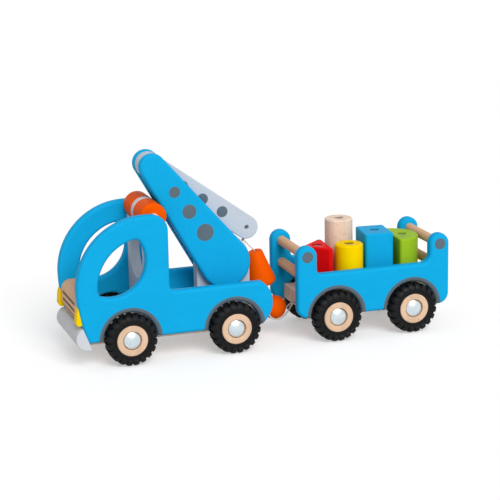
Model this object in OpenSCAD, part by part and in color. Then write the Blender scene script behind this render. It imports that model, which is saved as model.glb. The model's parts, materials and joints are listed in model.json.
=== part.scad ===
// Wooden crane truck with a trailer of five blocks, in millimetres.
// The truck faces -X, +Y is the far side, and the floor is at z = 0.
// Inside the modules x = 0 is the truck's front axle.

/* [Wheels] */
// Outside diameter of a rubber tyre
tyre_d = 50; // [45:1:56]
// Width of a tyre
tyre_w = 17.4; // [14:0.2:18]
// Number of lugs on each shoulder of a tyre
lug_count = 18; // [10:1:24]
// Depth of the grooves between the lugs
lug_depth = 1.6; // [1:0.2:3]
// Diameter of the wooden wheel hub
hub_d = 30; // [24:1:36]
// Width of the wheel hub
hub_w = 15.4; // [14:0.2:18]
// Diameter of a steel axle
axle_d = 5; // [4:0.5:6]
// Diameter of an axle cap
cap_d = 16.6; // [14:0.2:20]
// Height of the dome on an axle cap
cap_dome = 2.6; // [1.5:0.1:3.5]

/* [Truck] */
// Width over the outer faces of the side panels
body_w = 86; // [80:1:100]
// Thickness of a side panel
panel_t = 11; // [8:0.5:13]
// Distance between the truck's axles
wheelbase = 103; // [100:1:106]
// Gap between a tyre and its wheel arch
arch_gap = 1; // [1:0.5:3]
// Height of the top of the truck bed
bed_top = 67.5; // [64:0.5:72]
// Radius of the curve over the cab
cab_r = 67; // [64:0.5:70]
// Radius of the curve down the front of the cab
front_r = 130; // [110:1:140]
// Thickness of the base board
base_t = 15; // [13:0.5:17]
// Thickness of the cab's rear wall
wall_t = 10; // [8:0.5:11]
// Diameter of the round rear window
rear_window_d = 46; // [30:1:52]
// Radius of the half-round bumper
bumper_r = 11.3; // [9:0.1:12]
// Diameter of the warning light bar
light_d = 26; // [22:0.5:28]
// Diameter of the hitch knob
knob_d = 23.6; // [20:0.2:24]

/* [Crane] */
// Thickness of the pedestal plate and of the jib
plate_t = 12.4; // [10:0.2:14]
// Thickness of one boom arm
arm_t = 9.5; // [8:0.5:11]
// Distance between the two pivots of the boom
boom_len = 122; // [118:1:126]
// Radius of the lower end of the boom
boom_low_r = 25; // [22:0.5:26]
// Radius of the upper end of the boom
boom_top_r = 12.8; // [12.5:0.1:14]
// Distance from the jib's pivot to its tip hole
jib_len = 117; // [114:1:117]
// Angle of the folded jib below the horizontal
jib_droop = 36; // [34:0.5:36.5]
// Diameter of the wooden pivot pins
pin_d = 8; // [6:0.5:9]
// Diameter of the string hole in the jib's tip
tip_hole_d = 4; // [3:0.2:5]
// Diameter of the hook's base
hook_base_d = 29.5; // [28:0.5:30]
// Diameter of the hook's top
hook_top_d = 14.5; // [13:0.5:15]
// Height of the hook
hook_h = 35; // [33:0.5:36]

/* [Trailer] */
// Length of the trailer's side panels
trailer_len = 160; // [156:1:164]
// Distance between the trailer's axles
trailer_base = 80; // [78:1:82]
// Height of the top of the trailer's sides
side_top = 68.3; // [66:0.5:72]
// Height of the corner posts
post_top = 97; // [94:0.5:102]
// Width of a corner post
post_w = 20.5; // [18:0.5:22]
// Thickness of the trailer's floor
floor_t = 14; // [11:0.5:15]
// Diameter of the wooden rails
rail_d = 9.6; // [8:0.2:11]

/* [Blocks] */
// Diameter of the two round blocks
round_block_d = 28; // [24:0.5:29]
// Side of the square block
square_block_w = 29; // [25:0.5:30]
// Leg of the three-cornered block
corner_block_leg = 36; // [32:0.5:37]
// Radius of the half-round block
half_block_r = 26.5; // [22:0.5:27]
// Height of the yellow block
yellow_h = 48; // [40:1:55]
// Height of the natural block
natural_h = 66; // [55:1:68]
// Height of the blue block
blue_h = 55; // [45:1:60]
// Height of the red and green blocks
corner_h = 46; // [38:1:50]
// Diameter of the steel disc in the top of a block
disc_d = 10; // [8:0.5:12]

/* [Hidden] */
$fn = 72;
// The sub-part to draw, or all of them

// Colours as the photograph shows them
blue = [0.09, 0.67, 0.89];
grey = [0.74, 0.77, 0.82];
orange = [0.91, 0.38, 0.09];
wood = [0.90, 0.77, 0.65];
yellow = [1.00, 0.82, 0.00];
red = [0.80, 0.08, 0.09];
green = [0.60, 0.76, 0.18];
rubber = [0.09, 0.09, 0.10];
steel = [0.86, 0.89, 0.90];
string_white = [0.93, 0.93, 0.90];

// Clearances
run_gap = 0.05;
move_gap = 0.3;
wheel_gap = 1.5;
// Round ends stand proud of a straight edge by this much, so that the two cross cleanly
seam = 0.01;
// More than any cut needs to pass right through
over = 1;
far = 200;

// Wheels: heights are drawn with the axles at axle_z, and centred() then stands the tyres on the floor
axle_z = 25;
arch_r = tyre_d / 2 + arch_gap;
inner_half = body_w / 2 - panel_t;
tyre_shoulder = 5;
lug_groove = 3;
hub_recess_d = cap_d + 1.6;
hub_recess = 3;
hub_edge = 1.2;
cap_rim = 1.4;
cap_low = hub_w - hub_recess + move_gap;
axle_end = inner_half + wheel_gap + cap_low + cap_rim + 0.3;

// Truck side panel
panel_low = axle_z;
cab_c = [16.8, 75.5];
cab_rear = 39.7;
cab_corner_r = 16;
front_c = [cab_c[0] - cab_r + front_r, cab_c[1]];
cab_top = cab_c[1] + cab_r;
bed_end_r = 25.5;
bed_end_c = [117, (panel_low + bed_top) / 2];
bed_corner_r = 6;
// The side window lies inside both of these circles, with rounded corners
window_back_c = [-16, 100];
window_back_r = 33.3;
window_rim = 20.6;
window_front_r = cab_r - window_rim;
window_corner_r = 6;

// Base board and what stands on it
base_low = 20.5;
base_top = base_low + base_t;
base_rear = 131;
wall_x = 18.5;
wall_top = 131;
rear_window_z = 97;
grille_front = -49;
grille_depth = 22;
grille_top = 70;
grille_round = 9;
seat_inset = 0.4;
bumper_z = 29.1;
lamp_r = 13.5;
lamp_depth = 3.2;
lamp_w = panel_t - 1;
// The lamps sit on the front edge a little way above the bumper
lamp_gap = 3.5;
lamp_half = sqrt(lamp_r * lamp_r - (lamp_r - lamp_depth) * (lamp_r - lamp_depth));
lamp_lean = front_lean(bumper_z) - (bumper_r + lamp_half + lamp_gap) / front_r * 180 / PI;
lamp_z = front_c[1] - front_r * sin(lamp_lean);
light_c = [28.7, 138];
light_round = 2.5;
light_ring_w = 7;
light_dowel_d = 8;
light_dowel_in = 6;
knob_x = 157.7;
knob_z = 28;
neck_d = 9;
neck_in = 14;

// Crane
boom_foot = [104, 82];
pedestal_r = 27;
tenon = [[84, 112], 6];
pin_end = plate_t / 2 + arm_t - 3;
arm_in = plate_t / 2 + move_gap;
light_away = light_c - boom_foot;
boom_taper = asin((boom_low_r - boom_top_r) / boom_len);
// The boom leans on the warning light bar
boom_reach = asin((boom_low_r + light_d / 2 + move_gap) / norm(light_away));
boom_lean = atan2(-light_away[0], light_away[1]) - boom_reach + boom_taper;
boom_head = boom_foot + boom_len * [-sin(boom_lean), cos(boom_lean)];
jib_root_r = 12;
jib_tip_r = 11.5;
jib_along = [cos(jib_droop), -sin(jib_droop)];
jib_tip = boom_head + jib_len * jib_along;
knot_r = 1.6;
// The knot hangs in the notch between the jib's tip and the pedestal
knot = crossing(
    boom_foot, pedestal_r + knot_r + move_gap,
    jib_tip, jib_tip_r + knot_r + move_gap, -1
);
knot_way = knot - jib_tip;
edge_hole_d = 2.4;
hook_round = 4;
hook_tilt = atan2((hook_base_d - hook_top_d) / 2, hook_h);
hook_x = boom_foot[0] + pedestal_r + 0.4 + hook_top_d / 2 * cos(hook_tilt);
hook_z = 87.2;
hook_hole_d = 3;
hook_hole = 4;
magnet_d = 10;
magnet_t = 4;

// Trailer
trailer_x = 247.5;
trailer_front = trailer_x - trailer_len / 2;
trailer_rear = trailer_x + trailer_len / 2;
trailer_axle_x = [trailer_x - trailer_base / 2, trailer_x + trailer_base / 2];
post_front_r = 5;
post_rear_r = 9;
panel_foot_r = 11;
floor_top = 42;
floor_end = 11.5;
rail_x = [trailer_front + post_w / 2, trailer_rear - post_w / 2];
top_rail_z = 86.7;
low_rail_z = 64.3;
low_rail_half = inner_half + 8;
axle_block = [18, 10];

// Blocks: place on the floor, and turn
block_z = floor_top + move_gap;
red_at = [trailer_x - 60.5, -3.5];
red_turn = -4;
round_block_y = inner_half - round_block_d / 2 - 0.4;
yellow_at = [trailer_x - 17, -round_block_y];
natural_at = [trailer_x - 14, round_block_y];
blue_at = [trailer_x + 16.5, -2];
blue_turn = -6;
green_at = [trailer_x + 36, 0];
green_turn = 2;
block_round = 3;
disc_t = 2;
disc_recess = 1;
// Circle that touches all sides of a three-cornered block, and its distance from the square corner
corner_inradius = corner_block_leg * (1 - sqrt(0.5));
corner_middle = corner_inradius * sqrt(2);
red_disc_at = red_at + corner_middle * [cos(red_turn), sin(red_turn)];
half_block_middle = 0.42 * half_block_r;
green_disc_at = green_at + half_block_middle * [cos(green_turn), sin(green_turn)];

// Middle of the whole length
x_middle = (bumper_seat()[0] - bumper_r + trailer_rear) / 2;

// Routes of the two strings, from end to end
hook_string_d = 1.2;
hook_route = [
    [128.2, 0, 98.3], [128.9, 0, 97.5], [129.6, 0, 96.8], [130.2, 0, 96.1], [130.9, 0, 95.3],
    [131.6, 0, 94.6], [132.3, 0, 93.9], [133, 0, 93.2], [133.6, 0, 92.4], [134.3, 0, 91.7],
    [135, 0, 91], [135.7, 0, 90.2], [136.4, 0, 89.5], [137, 0, 88.8], [137.8, 0, 87.9], [138.5, 0, 86.4]
];
tow_string_d = 1.6;
tow_half_route = [
    [179, 1.2, 31], [177, 1.8, 30], [175, 2.6, 28.4], [172.5, 3.8, 25.8], [170, 5, 23.2],
    [167, 6.4, 20.9], [164, 7.8, 19.3], [161, 8.9, 18.3], [158, 9.6, 17.9], [155, 10.2, 18.2],
    [152.2, 10.8, 19.6], [149.8, 11.3, 21.8], [148, 11.7, 24.6], [146.8, 11.9, 27.6], [146.1, 11.6, 30.4],
    [145.7, 10.4, 32.6], [145.5, 8, 33.8], [145.5, 4, 33.8]
];
tow_route = concat(
    tow_half_route,
    [[145.5, 0, 33.8]],
    [for (i = [len(tow_half_route) - 1:-1:0]) let (p = tow_half_route[i]) [p[0], -p[1], p[2]]]
);

// Where two circles cross: side is 1 on the left of the way between their middles, and -1 on the right
function crossing(c1, r1, c2, r2, side) =
    let (d = norm(c2 - c1), u = (c2 - c1) / d, a = (r1 * r1 - r2 * r2 + d * d) / (2 * d))
    c1 + a * u + side * sqrt(r1 * r1 - a * a) * [-u[1], u[0]];

function toward(from, to, reach) = from + reach * (to - from) / norm(to - from);

// Lean from the vertical of the panel's front edge at a height
function front_lean(z) = asin((front_c[1] - z) / front_r);

// Point on a flat seat that is cut a little way into the panel's front edge
function front_seat(z) = front_c - (front_r - seat_inset) * [cos(front_lean(z)), sin(front_lean(z))];
function bumper_seat() = front_seat(bumper_z);

// Outline drawn in the x-z plane, given a thickness along y from y0 up
module slab(y0, t) {
    translate([0, y0 + t, 0])
        rotate([90, 0, 0])
            linear_extrude(height = t)
                children();
}

// Round bar along y through [x, z]
module crossbar(at, d, y0, y1) {
    translate([at[0], y1, at[1]])
        rotate([90, 0, 0])
            cylinder(d = d, h = y1 - y0);
}

module rect(x0, x1, z0, z1) {
    translate([x0, z0])
        square([x1 - x0, z1 - z0]);
}

module disc2(c, r) {
    translate(c)
        circle(r = r);
}

// Outline around equal circles at the corners of a convex shape, given anticlockwise
module rounded_outline(corners, r) {
    count = len(corners);
    edge_normal = [
        for (i = [0:count - 1])
            let (e = corners[(i + 1) % count] - corners[i])
            r * [e[1], -e[0]] / norm(e)
    ];
    polygon([for (i = [0:count - 1], k = [count - 1, 0]) corners[i] + edge_normal[(i + k) % count]]);
    for (c = corners)
        disc2(c, r + seam);
}

// Bar along +x with two round ends of different radius, standing on the first end's middle
module tapered_bar(r1, r2, length) {
    tilt = acos((r1 - r2) / length);
    n = [cos(tilt), sin(tilt)];
    m = [cos(tilt), -sin(tilt)];
    polygon([r1 * n, r1 * m, [length, 0] + r2 * m, [length, 0] + r2 * n]);
    disc2([0, 0], r1 + seam);
    disc2([length, 0], r2 + seam);
}

// Tube of round section along a list of points, closed at both ends
module tube_along(points, d, sides = 8) {
    last = len(points) - 1;
    lean = [0.2, 0.35, 1];
    rings = [
        for (i = [0:last])
            let (
                t = points[min(i + 1, last)] - points[max(i - 1, 0)],
                u = cross(t, lean) / norm(cross(t, lean)),
                v = cross(t, u) / norm(t)
            )
            for (k = [0:sides - 1])
                points[i] + d / 2 * (cos(360 * k / sides) * u + sin(360 * k / sides) * v)
    ];
    walls = [
        for (i = [0:last - 1], k = [0:sides - 1])
            let (a = i * sides + k, b = i * sides + (k + 1) % sides)
            [a, b, b + sides, a + sides]
    ];
    near_end = [for (k = [sides - 1:-1:0]) k];
    far_end = [for (k = [0:sides - 1]) last * sides + k];
    polyhedron(points = rings, faces = concat(walls, [near_end, far_end]), convexity = 6);
}

// Side window: the overlap of two circles, with both corners rounded
module window_outline() {
    difference() {
        intersection() {
            disc2(cab_c, window_front_r);
            disc2(window_back_c, window_back_r);
        }
        for (side = [-1, 1])
            let (
                tip = crossing(cab_c, window_front_r, window_back_c, window_back_r, side),
                k = window_corner(side)
            )
            polygon([
                toward(cab_c, k, window_front_r),
                k + 3 * (tip - k),
                toward(window_back_c, k, window_back_r)
            ]);
    }
    for (side = [-1, 1])
        disc2(window_corner(side), window_corner_r + seam);
}

function window_corner(side) =
    crossing(
        cab_c, window_front_r - window_corner_r,
        window_back_c, window_back_r - window_corner_r, side
    );

// Everything in front of a flat seat on the panel's front edge
module seat_cut(z) {
    translate(front_seat(z))
        rotate(180 + front_lean(z))
            rect(0, far, -far, far);
}

module wheel_arches(at) {
    for (x = at)
        disc2([x, axle_z], arch_r);
}

module truck_panel_outline() {
    corner_c = [cab_rear - cab_corner_r, cab_top - cab_corner_r];
    difference() {
        union() {
            // curved front and roof of the cab
            intersection() {
                disc2(cab_c, cab_r);
                rect(cab_c[0] - cab_r - over, cab_c[0], cab_c[1], cab_top + over);
            }
            intersection() {
                disc2(front_c, front_r);
                rect(cab_c[0] - cab_r - over, cab_c[0], panel_low, front_c[1]);
            }
            // rear of the cab
            rect(cab_c[0], cab_rear, panel_low, corner_c[1]);
            rect(cab_c[0], corner_c[0], corner_c[1], cab_top);
            disc2(corner_c, cab_corner_r);
            // side of the bed, with its round rear end
            rect(cab_rear, bed_end_c[0], panel_low, bed_top);
            intersection() {
                disc2(bed_end_c, bed_end_r);
                rect(bed_end_c[0], bed_end_c[0] + bed_end_r + over, panel_low, bed_top);
            }
            difference() {
                rect(cab_rear, cab_rear + bed_corner_r, bed_top, bed_top + bed_corner_r);
                disc2([cab_rear + bed_corner_r, bed_top + bed_corner_r], bed_corner_r);
            }
        }
        window_outline();
        wheel_arches([0, wheelbase]);
        seat_cut(bumper_z);
        seat_cut(lamp_z);
    }
}

module side_panel() {
    color(blue)
        difference() {
            slab(-body_w / 2, panel_t)
                truck_panel_outline();
            crossbar(light_c, light_dowel_d, -inner_half - light_dowel_in, -inner_half + over);
        }
}

module base_board() {
    color(wood)
        difference() {
            slab(-inner_half, 2 * inner_half)
                difference() {
                    rect(grille_front, base_rear, base_low, base_top);
                    seat_cut(bumper_z);
                }
            for (x = [0, wheelbase])
                crossbar([x, axle_z], axle_d, -body_w / 2, body_w / 2);
            slab(-plate_t / 2, plate_t)
                rect(tenon[0][0], tenon[0][1], base_top - tenon[1], base_top + over);
            translate([base_rear - neck_in, 0, knob_z])
                rotate([0, 90, 0])
                    cylinder(d = neck_d, h = neck_in + over);
        }
}

module cab_rear_wall() {
    color(grey)
        difference() {
            slab(-inner_half, 2 * inner_half)
                rect(wall_x, wall_x + wall_t, base_top, wall_top);
            translate([wall_x - over, 0, rear_window_z])
                rotate([0, 90, 0])
                    cylinder(d = rear_window_d, h = wall_t + 2 * over);
            crossbar(light_c, light_d, -body_w / 2, body_w / 2);
        }
}

module grille_block() {
    round_c = [grille_front + grille_round, grille_top - grille_round];
    color(wood)
        slab(-inner_half, 2 * inner_half)
            difference() {
                union() {
                    rect(grille_front, grille_front + grille_depth, base_top, round_c[1]);
                    rect(round_c[0], grille_front + grille_depth, base_top, grille_top);
                    disc2(round_c, grille_round);
                }
                seat_cut(bumper_z);
            }
}

module headlamps() {
    color(yellow)
        for (side = [-1, 1])
            slab(side * (body_w / 2 - panel_t / 2) - lamp_w / 2, lamp_w)
                translate(front_seat(lamp_z))
                    rotate(180 + front_lean(lamp_z))
                        intersection() {
                            disc2([lamp_depth - lamp_r, 0], lamp_r);
                            rect(0, lamp_depth + over, -lamp_r, lamp_r);
                        }
}

module bumper() {
    color(grey)
        slab(-body_w / 2, body_w)
            translate(bumper_seat())
                rotate(180 + front_lean(bumper_z))
                    intersection() {
                        circle(r = bumper_r);
                        rect(0, bumper_r + over, -bumper_r, bumper_r);
                    }
}

// Orange drum of the light bar, standing on z = 0, with one rounded end
module light_drum(length) {
    r = light_d / 2;
    rotate_extrude() {
        difference() {
            union() {
                rect(0, r, 0, length - light_round);
                rect(0, r - light_round, 0, length);
                disc2([r - light_round, length - light_round], light_round);
            }
            rect(-over, light_dowel_d / 2, -over, length + over);
        }
    }
}

module light_drums() {
    color(orange)
        for (side = [-1, 1])
            translate([light_c[0], side * light_ring_w / 2, light_c[1]])
                rotate([-90 * side, 0, 0])
                    light_drum(inner_half - light_ring_w / 2);
}

module light_ring() {
    color(grey)
        difference() {
            crossbar(light_c, light_d, -light_ring_w / 2, light_ring_w / 2);
            crossbar(light_c, light_dowel_d, -light_ring_w, light_ring_w);
        }
}

module light_dowel() {
    color(wood)
        crossbar(light_c, light_dowel_d, -inner_half - light_dowel_in, inner_half + light_dowel_in);
}

module crane_pedestal() {
    color(grey)
        difference() {
            slab(-plate_t / 2, plate_t)
                union() {
                    rect(boom_foot[0] - pedestal_r, boom_foot[0] + pedestal_r, base_top, boom_foot[1]);
                    disc2(boom_foot, pedestal_r);
                    rect(tenon[0][0], tenon[0][1], base_top - tenon[1], base_top);
                }
            crossbar(boom_foot, pin_d + 2 * run_gap, -plate_t, plate_t);
        }
}

module boom_arm() {
    color(blue)
        difference() {
            slab(-arm_in - arm_t, arm_t)
                translate(boom_foot)
                    rotate(90 + boom_lean)
                        tapered_bar(boom_low_r, boom_top_r, boom_len);
            for (pivot = [boom_foot, boom_head])
                crossbar(pivot, pin_d, -pin_end, 0);
        }
}

module pivot_pin(at) {
    color(wood)
        crossbar(at, pin_d, -pin_end, pin_end);
}

module jib() {
    color(grey)
        difference() {
            slab(-plate_t / 2, plate_t)
                translate(boom_head)
                    rotate(-jib_droop)
                        tapered_bar(jib_root_r, jib_tip_r, jib_len);
            crossbar(boom_head, pin_d + 2 * run_gap, -plate_t, plate_t);
            crossbar(jib_tip, tip_hole_d, -plate_t, plate_t);
            translate([jib_tip[0], 0, jib_tip[1]])
                rotate([0, atan2(knot_way[0], knot_way[1]), 0])
                    cylinder(d = edge_hole_d, h = jib_tip_r + over);
        }
}

module string_knot() {
    color(string_white)
        translate([knot[0], 0, knot[1]])
            sphere(r = knot_r);
}

module hook_string() {
    color(string_white)
        tube_along(hook_route, hook_string_d);
}

module at_hook() {
    translate([hook_x, 0, hook_z])
        rotate([0, 180 - hook_tilt, 0])
            children();
}

module hook_weight() {
    r = hook_base_d / 2;
    rim_c = [r - hook_round / cos(hook_tilt) - hook_round * tan(hook_tilt), hook_h - hook_round];
    color(orange)
        at_hook()
            difference() {
                rotate_extrude() {
                    intersection() {
                        union() {
                            rect(0, rim_c[0], 0, hook_h);
                            rect(0, 2 * r, 0, rim_c[1] - hook_round * sin(hook_tilt));
                            disc2(rim_c, hook_round + seam);
                        }
                        polygon([[0, 0], [hook_top_d / 2, 0], [r, hook_h], [0, hook_h]]);
                    }
                }
                translate([0, 0, hook_h - magnet_t])
                    cylinder(d = magnet_d, h = magnet_t + over);
                translate([0, 0, -over])
                    cylinder(d = hook_hole_d, h = hook_hole + over);
            }
}

module hook_magnet() {
    color(steel)
        at_hook()
            translate([0, 0, hook_h - magnet_t])
                cylinder(d = magnet_d, h = magnet_t);
}

module hitch_knob() {
    color(orange)
        union() {
            translate([knob_x, 0, knob_z])
                sphere(d = knob_d);
            translate([base_rear - neck_in, 0, knob_z])
                rotate([0, 90, 0])
                    cylinder(d = neck_d, h = knob_x - base_rear + neck_in);
        }
}

// Stand on the inner face of a hub, with z pointing out of the truck
module at_wheel(x, side) {
    translate([x, side * (inner_half + wheel_gap), axle_z])
        rotate([-90 * side, 0, 0])
            children();
}

module tyre(x, side) {
    r = tyre_d / 2;
    color(rubber)
        at_wheel(x, side)
            translate([0, 0, hub_w / 2])
                difference() {
                    rotate_extrude() {
                        difference() {
                            union() {
                                rect(0, r - tyre_shoulder, -tyre_w / 2, tyre_w / 2);
                                rect(0, r, -tyre_w / 2 + tyre_shoulder, tyre_w / 2 - tyre_shoulder);
                                for (z = [-1, 1])
                                    disc2([r - tyre_shoulder, z * (tyre_w / 2 - tyre_shoulder)],
                                          tyre_shoulder);
                            }
                            rect(-over, hub_d / 2, -tyre_w, tyre_w);
                        }
                    }
                    for (i = [0:lug_count - 1], half = [0, 1])
                        rotate((i + half / 2) * 360 / lug_count)
                            translate([r - lug_depth, -lug_groove / 2, -half * tyre_w])
                                cube([lug_depth + over, lug_groove, tyre_w]);
                }
}

module hub(x, side) {
    r = hub_d / 2;
    color(wood)
        at_wheel(x, side)
            rotate_extrude() {
                difference() {
                    union() {
                        rect(axle_d / 2 + run_gap, r, 0, hub_w - hub_edge);
                        rect(axle_d / 2 + run_gap, r - hub_edge, 0, hub_w);
                        disc2([r - hub_edge, hub_w - hub_edge], hub_edge);
                    }
                    rect(0, hub_recess_d / 2, hub_w - hub_recess, hub_w + over);
                }
            }
}

module axle(x) {
    color(steel)
        crossbar([x, axle_z], axle_d, -axle_end, axle_end);
}

module axle_caps(at) {
    r = cap_d / 2;
    dome_r = (r * r + cap_dome * cap_dome) / (2 * cap_dome);
    color(steel)
        for (x = at, side = [-1, 1])
            difference() {
                at_wheel(x, side)
                    rotate_extrude() {
                        rect(0, r, cap_low, cap_low + cap_rim);
                        intersection() {
                            disc2([0, cap_low + cap_rim + cap_dome - dome_r], dome_r);
                            rect(0, r, cap_low + cap_rim, cap_low + cap_rim + cap_dome);
                        }
                    }
                crossbar([x, axle_z], axle_d, -axle_end, axle_end);
            }
}

// One half of the trailer's side in front of its middle, with a post
module trailer_half_outline(post_corner_r) {
    half = trailer_len / 2;
    foot_c = [-half + panel_foot_r, panel_low + panel_foot_r];
    inner = -half + post_w;
    rect(-half, 0, foot_c[1], side_top);
    rect(foot_c[0], 0, panel_low, foot_c[1]);
    disc2(foot_c, panel_foot_r);
    rect(-half, inner, side_top, post_top - post_w / 2);
    disc2([-half + post_w / 2, post_top - post_w / 2], post_w / 2);
    difference() {
        rect(inner, inner + post_corner_r, side_top, side_top + post_corner_r);
        disc2([inner + post_corner_r, side_top + post_corner_r], post_corner_r);
    }
}

module trailer_panel() {
    color(blue)
        difference() {
            slab(-body_w / 2, panel_t)
                difference() {
                    union() {
                        translate([trailer_x, 0])
                            trailer_half_outline(post_front_r);
                        translate([trailer_x, 0])
                            mirror([1, 0])
                                trailer_half_outline(post_rear_r);
                    }
                    wheel_arches(trailer_axle_x);
                }
            for (x = rail_x) {
                crossbar([x, top_rail_z], rail_d, -body_w, 0);
                crossbar([x, low_rail_z], rail_d, -low_rail_half, 0);
            }
        }
}

module trailer_floor() {
    color(wood)
        slab(-inner_half, 2 * inner_half)
            rect(trailer_front + floor_end, trailer_rear - floor_end, floor_top - floor_t, floor_top);
}

module trailer_rails(z, half) {
    color(wood)
        for (x = rail_x)
            crossbar([x, z], rail_d, -half, half);
}

module trailer_axle_blocks() {
    floor_low = floor_top - floor_t;
    color(wood)
        for (x = trailer_axle_x)
            difference() {
                slab(-inner_half, 2 * inner_half)
                    rect(x - axle_block[0] / 2, x + axle_block[0] / 2, floor_low - axle_block[1], floor_low);
                crossbar([x, axle_z], axle_d, -body_w, body_w);
            }
}

module tow_string() {
    color(string_white)
        tube_along(tow_route, tow_string_d);
}

// Hole for the steel disc in the top of a block of height h that stands on z = 0
module disc_hole(h) {
    translate([0, 0, h - disc_t - disc_recess])
        cylinder(d = disc_d, h = disc_t + disc_recess + over);
}

module block_disc(at, h) {
    color(steel)
        translate([at[0], at[1], block_z + h - disc_t - disc_recess])
            cylinder(d = disc_d, h = disc_t);
}

module round_block(at, h, tone) {
    r = round_block_d / 2;
    color(tone)
        translate([at[0], at[1], block_z])
            difference() {
                rotate_extrude() {
                    rect(0, r, block_round, h - block_round);
                    rect(0, r - block_round, 0, h);
                    for (z = [block_round, h - block_round])
                        disc2([r - block_round, z], block_round);
                }
                disc_hole(h);
            }
}

module square_block(at, turn, h, tone) {
    c = square_block_w / 2 - block_round;
    color(tone)
        translate([at[0], at[1], block_z])
            rotate(turn)
                difference() {
                    linear_extrude(height = h)
                        rounded_outline([[-c, -c], [c, -c], [c, c], [-c, c]], block_round);
                    disc_hole(h);
                }
}

// Three-cornered block with its square corner on the origin and its long side toward +x
module corner_block(at, turn, h, tone) {
    shrink = 1 - block_round / corner_inradius;
    long_x = corner_block_leg * sqrt(0.5);
    middle = [corner_middle, 0];
    tips = [[0, 0], [long_x, -long_x], [long_x, long_x]];
    color(tone)
        translate([at[0], at[1], block_z])
            rotate(turn)
                difference() {
                    linear_extrude(height = h)
                        rounded_outline([for (p = tips) middle + shrink * (p - middle)], block_round);
                    translate([corner_middle, 0, 0])
                        disc_hole(h);
                }
}

// Half-round block with the middle of its flat side on the origin and its round side toward +x
module half_round_block(at, turn, h, tone) {
    r = half_block_r;
    corner_y = sqrt((r - block_round) * (r - block_round) - block_round * block_round);
    color(tone)
        translate([at[0], at[1], block_z])
            rotate(turn)
                difference() {
                    linear_extrude(height = h) {
                        difference() {
                            intersection() {
                                circle(r = r);
                                rect(0, r + over, -r, r);
                            }
                            for (side = [-1, 1])
                                let (k = [block_round, side * corner_y], tip = [0, side * r])
                                polygon([[0, k[1]], k + 3 * (tip - k), toward([0, 0], k, r)]);
                        }
                        for (side = [-1, 1])
                            disc2([block_round, side * corner_y], block_round + seam);
                    }
                    translate([half_block_middle, 0, 0])
                        disc_hole(h);
                }
}

// Move a piece so that the middle of the whole length is at x = 0 and the tyres stand on z = 0
module centred() {
    translate([-x_middle, 0, tyre_d / 2 - axle_z])
        children();
}

centred() side_panel();  // side_panel_near
centred() mirror([0, 1, 0]) side_panel();  // side_panel_far
centred() base_board();
centred() cab_rear_wall();
centred() grille_block();
centred() headlamps();
centred() bumper();
centred() light_drums();
centred() light_ring();
centred() light_dowel();
centred() crane_pedestal();
centred() boom_arm();  // boom_arm_near
centred() mirror([0, 1, 0]) boom_arm();  // boom_arm_far
centred() pivot_pin(boom_foot);  // boom_pin
centred() jib();
centred() pivot_pin(boom_head);  // jib_pin
centred() string_knot();
centred() hook_string();
centred() hook_weight();
centred() hook_magnet();
centred() hitch_knob();
centred() for (x = [0, wheelbase]) axle(x);  // truck_axles
centred() axle_caps([0, wheelbase]);  // truck_axle_caps
centred() tyre(0, -1);  // tyre_front_near
centred() tyre(0, 1);  // tyre_front_far
centred() tyre(wheelbase, -1);  // tyre_rear_near
centred() tyre(wheelbase, 1);  // tyre_rear_far
centred() hub(0, -1);  // hub_front_near
centred() hub(0, 1);  // hub_front_far
centred() hub(wheelbase, -1);  // hub_rear_near
centred() hub(wheelbase, 1);  // hub_rear_far
centred() trailer_panel();  // trailer_panel_near
centred() mirror([0, 1, 0]) trailer_panel();  // trailer_panel_far
centred() trailer_floor();
centred() trailer_rails(top_rail_z, body_w / 2);  // trailer_top_rails
centred() trailer_rails(low_rail_z, low_rail_half);  // trailer_low_rails
centred() trailer_axle_blocks();
centred() for (x = trailer_axle_x) axle(x);  // trailer_axles
centred() axle_caps(trailer_axle_x);  // trailer_axle_caps
centred() tyre(trailer_axle_x[0], -1);  // trailer_tyre_front_near
centred() tyre(trailer_axle_x[0], 1);  // trailer_tyre_front_far
centred() tyre(trailer_axle_x[1], -1);  // trailer_tyre_rear_near
centred() tyre(trailer_axle_x[1], 1);  // trailer_tyre_rear_far
centred() hub(trailer_axle_x[0], -1);  // trailer_hub_front_near
centred() hub(trailer_axle_x[0], 1);  // trailer_hub_front_far
centred() hub(trailer_axle_x[1], -1);  // trailer_hub_rear_near
centred() hub(trailer_axle_x[1], 1);  // trailer_hub_rear_far
centred() tow_string();
centred() corner_block(red_at, red_turn, corner_h, red);  // block_red
centred() round_block(natural_at, natural_h, wood);  // block_natural
centred() round_block(yellow_at, yellow_h, yellow);  // block_yellow
centred() square_block(blue_at, blue_turn, blue_h, blue);  // block_blue
centred() half_round_block(green_at, green_turn, corner_h, green);  // block_green
centred() block_disc(red_disc_at, corner_h);  // disc_red
centred() block_disc(natural_at, natural_h);  // disc_natural
centred() block_disc(yellow_at, yellow_h);  // disc_yellow
centred() block_disc(blue_at, blue_h);  // disc_blue
centred() block_disc(green_disc_at, corner_h);  // disc_green
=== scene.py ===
"""Dress the wooden crane truck and its trailer: boards, wheels, strings and blocks with their finishes."""

import json
import math

import bmesh
import bpy
from mathutils import Matrix, Vector


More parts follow.
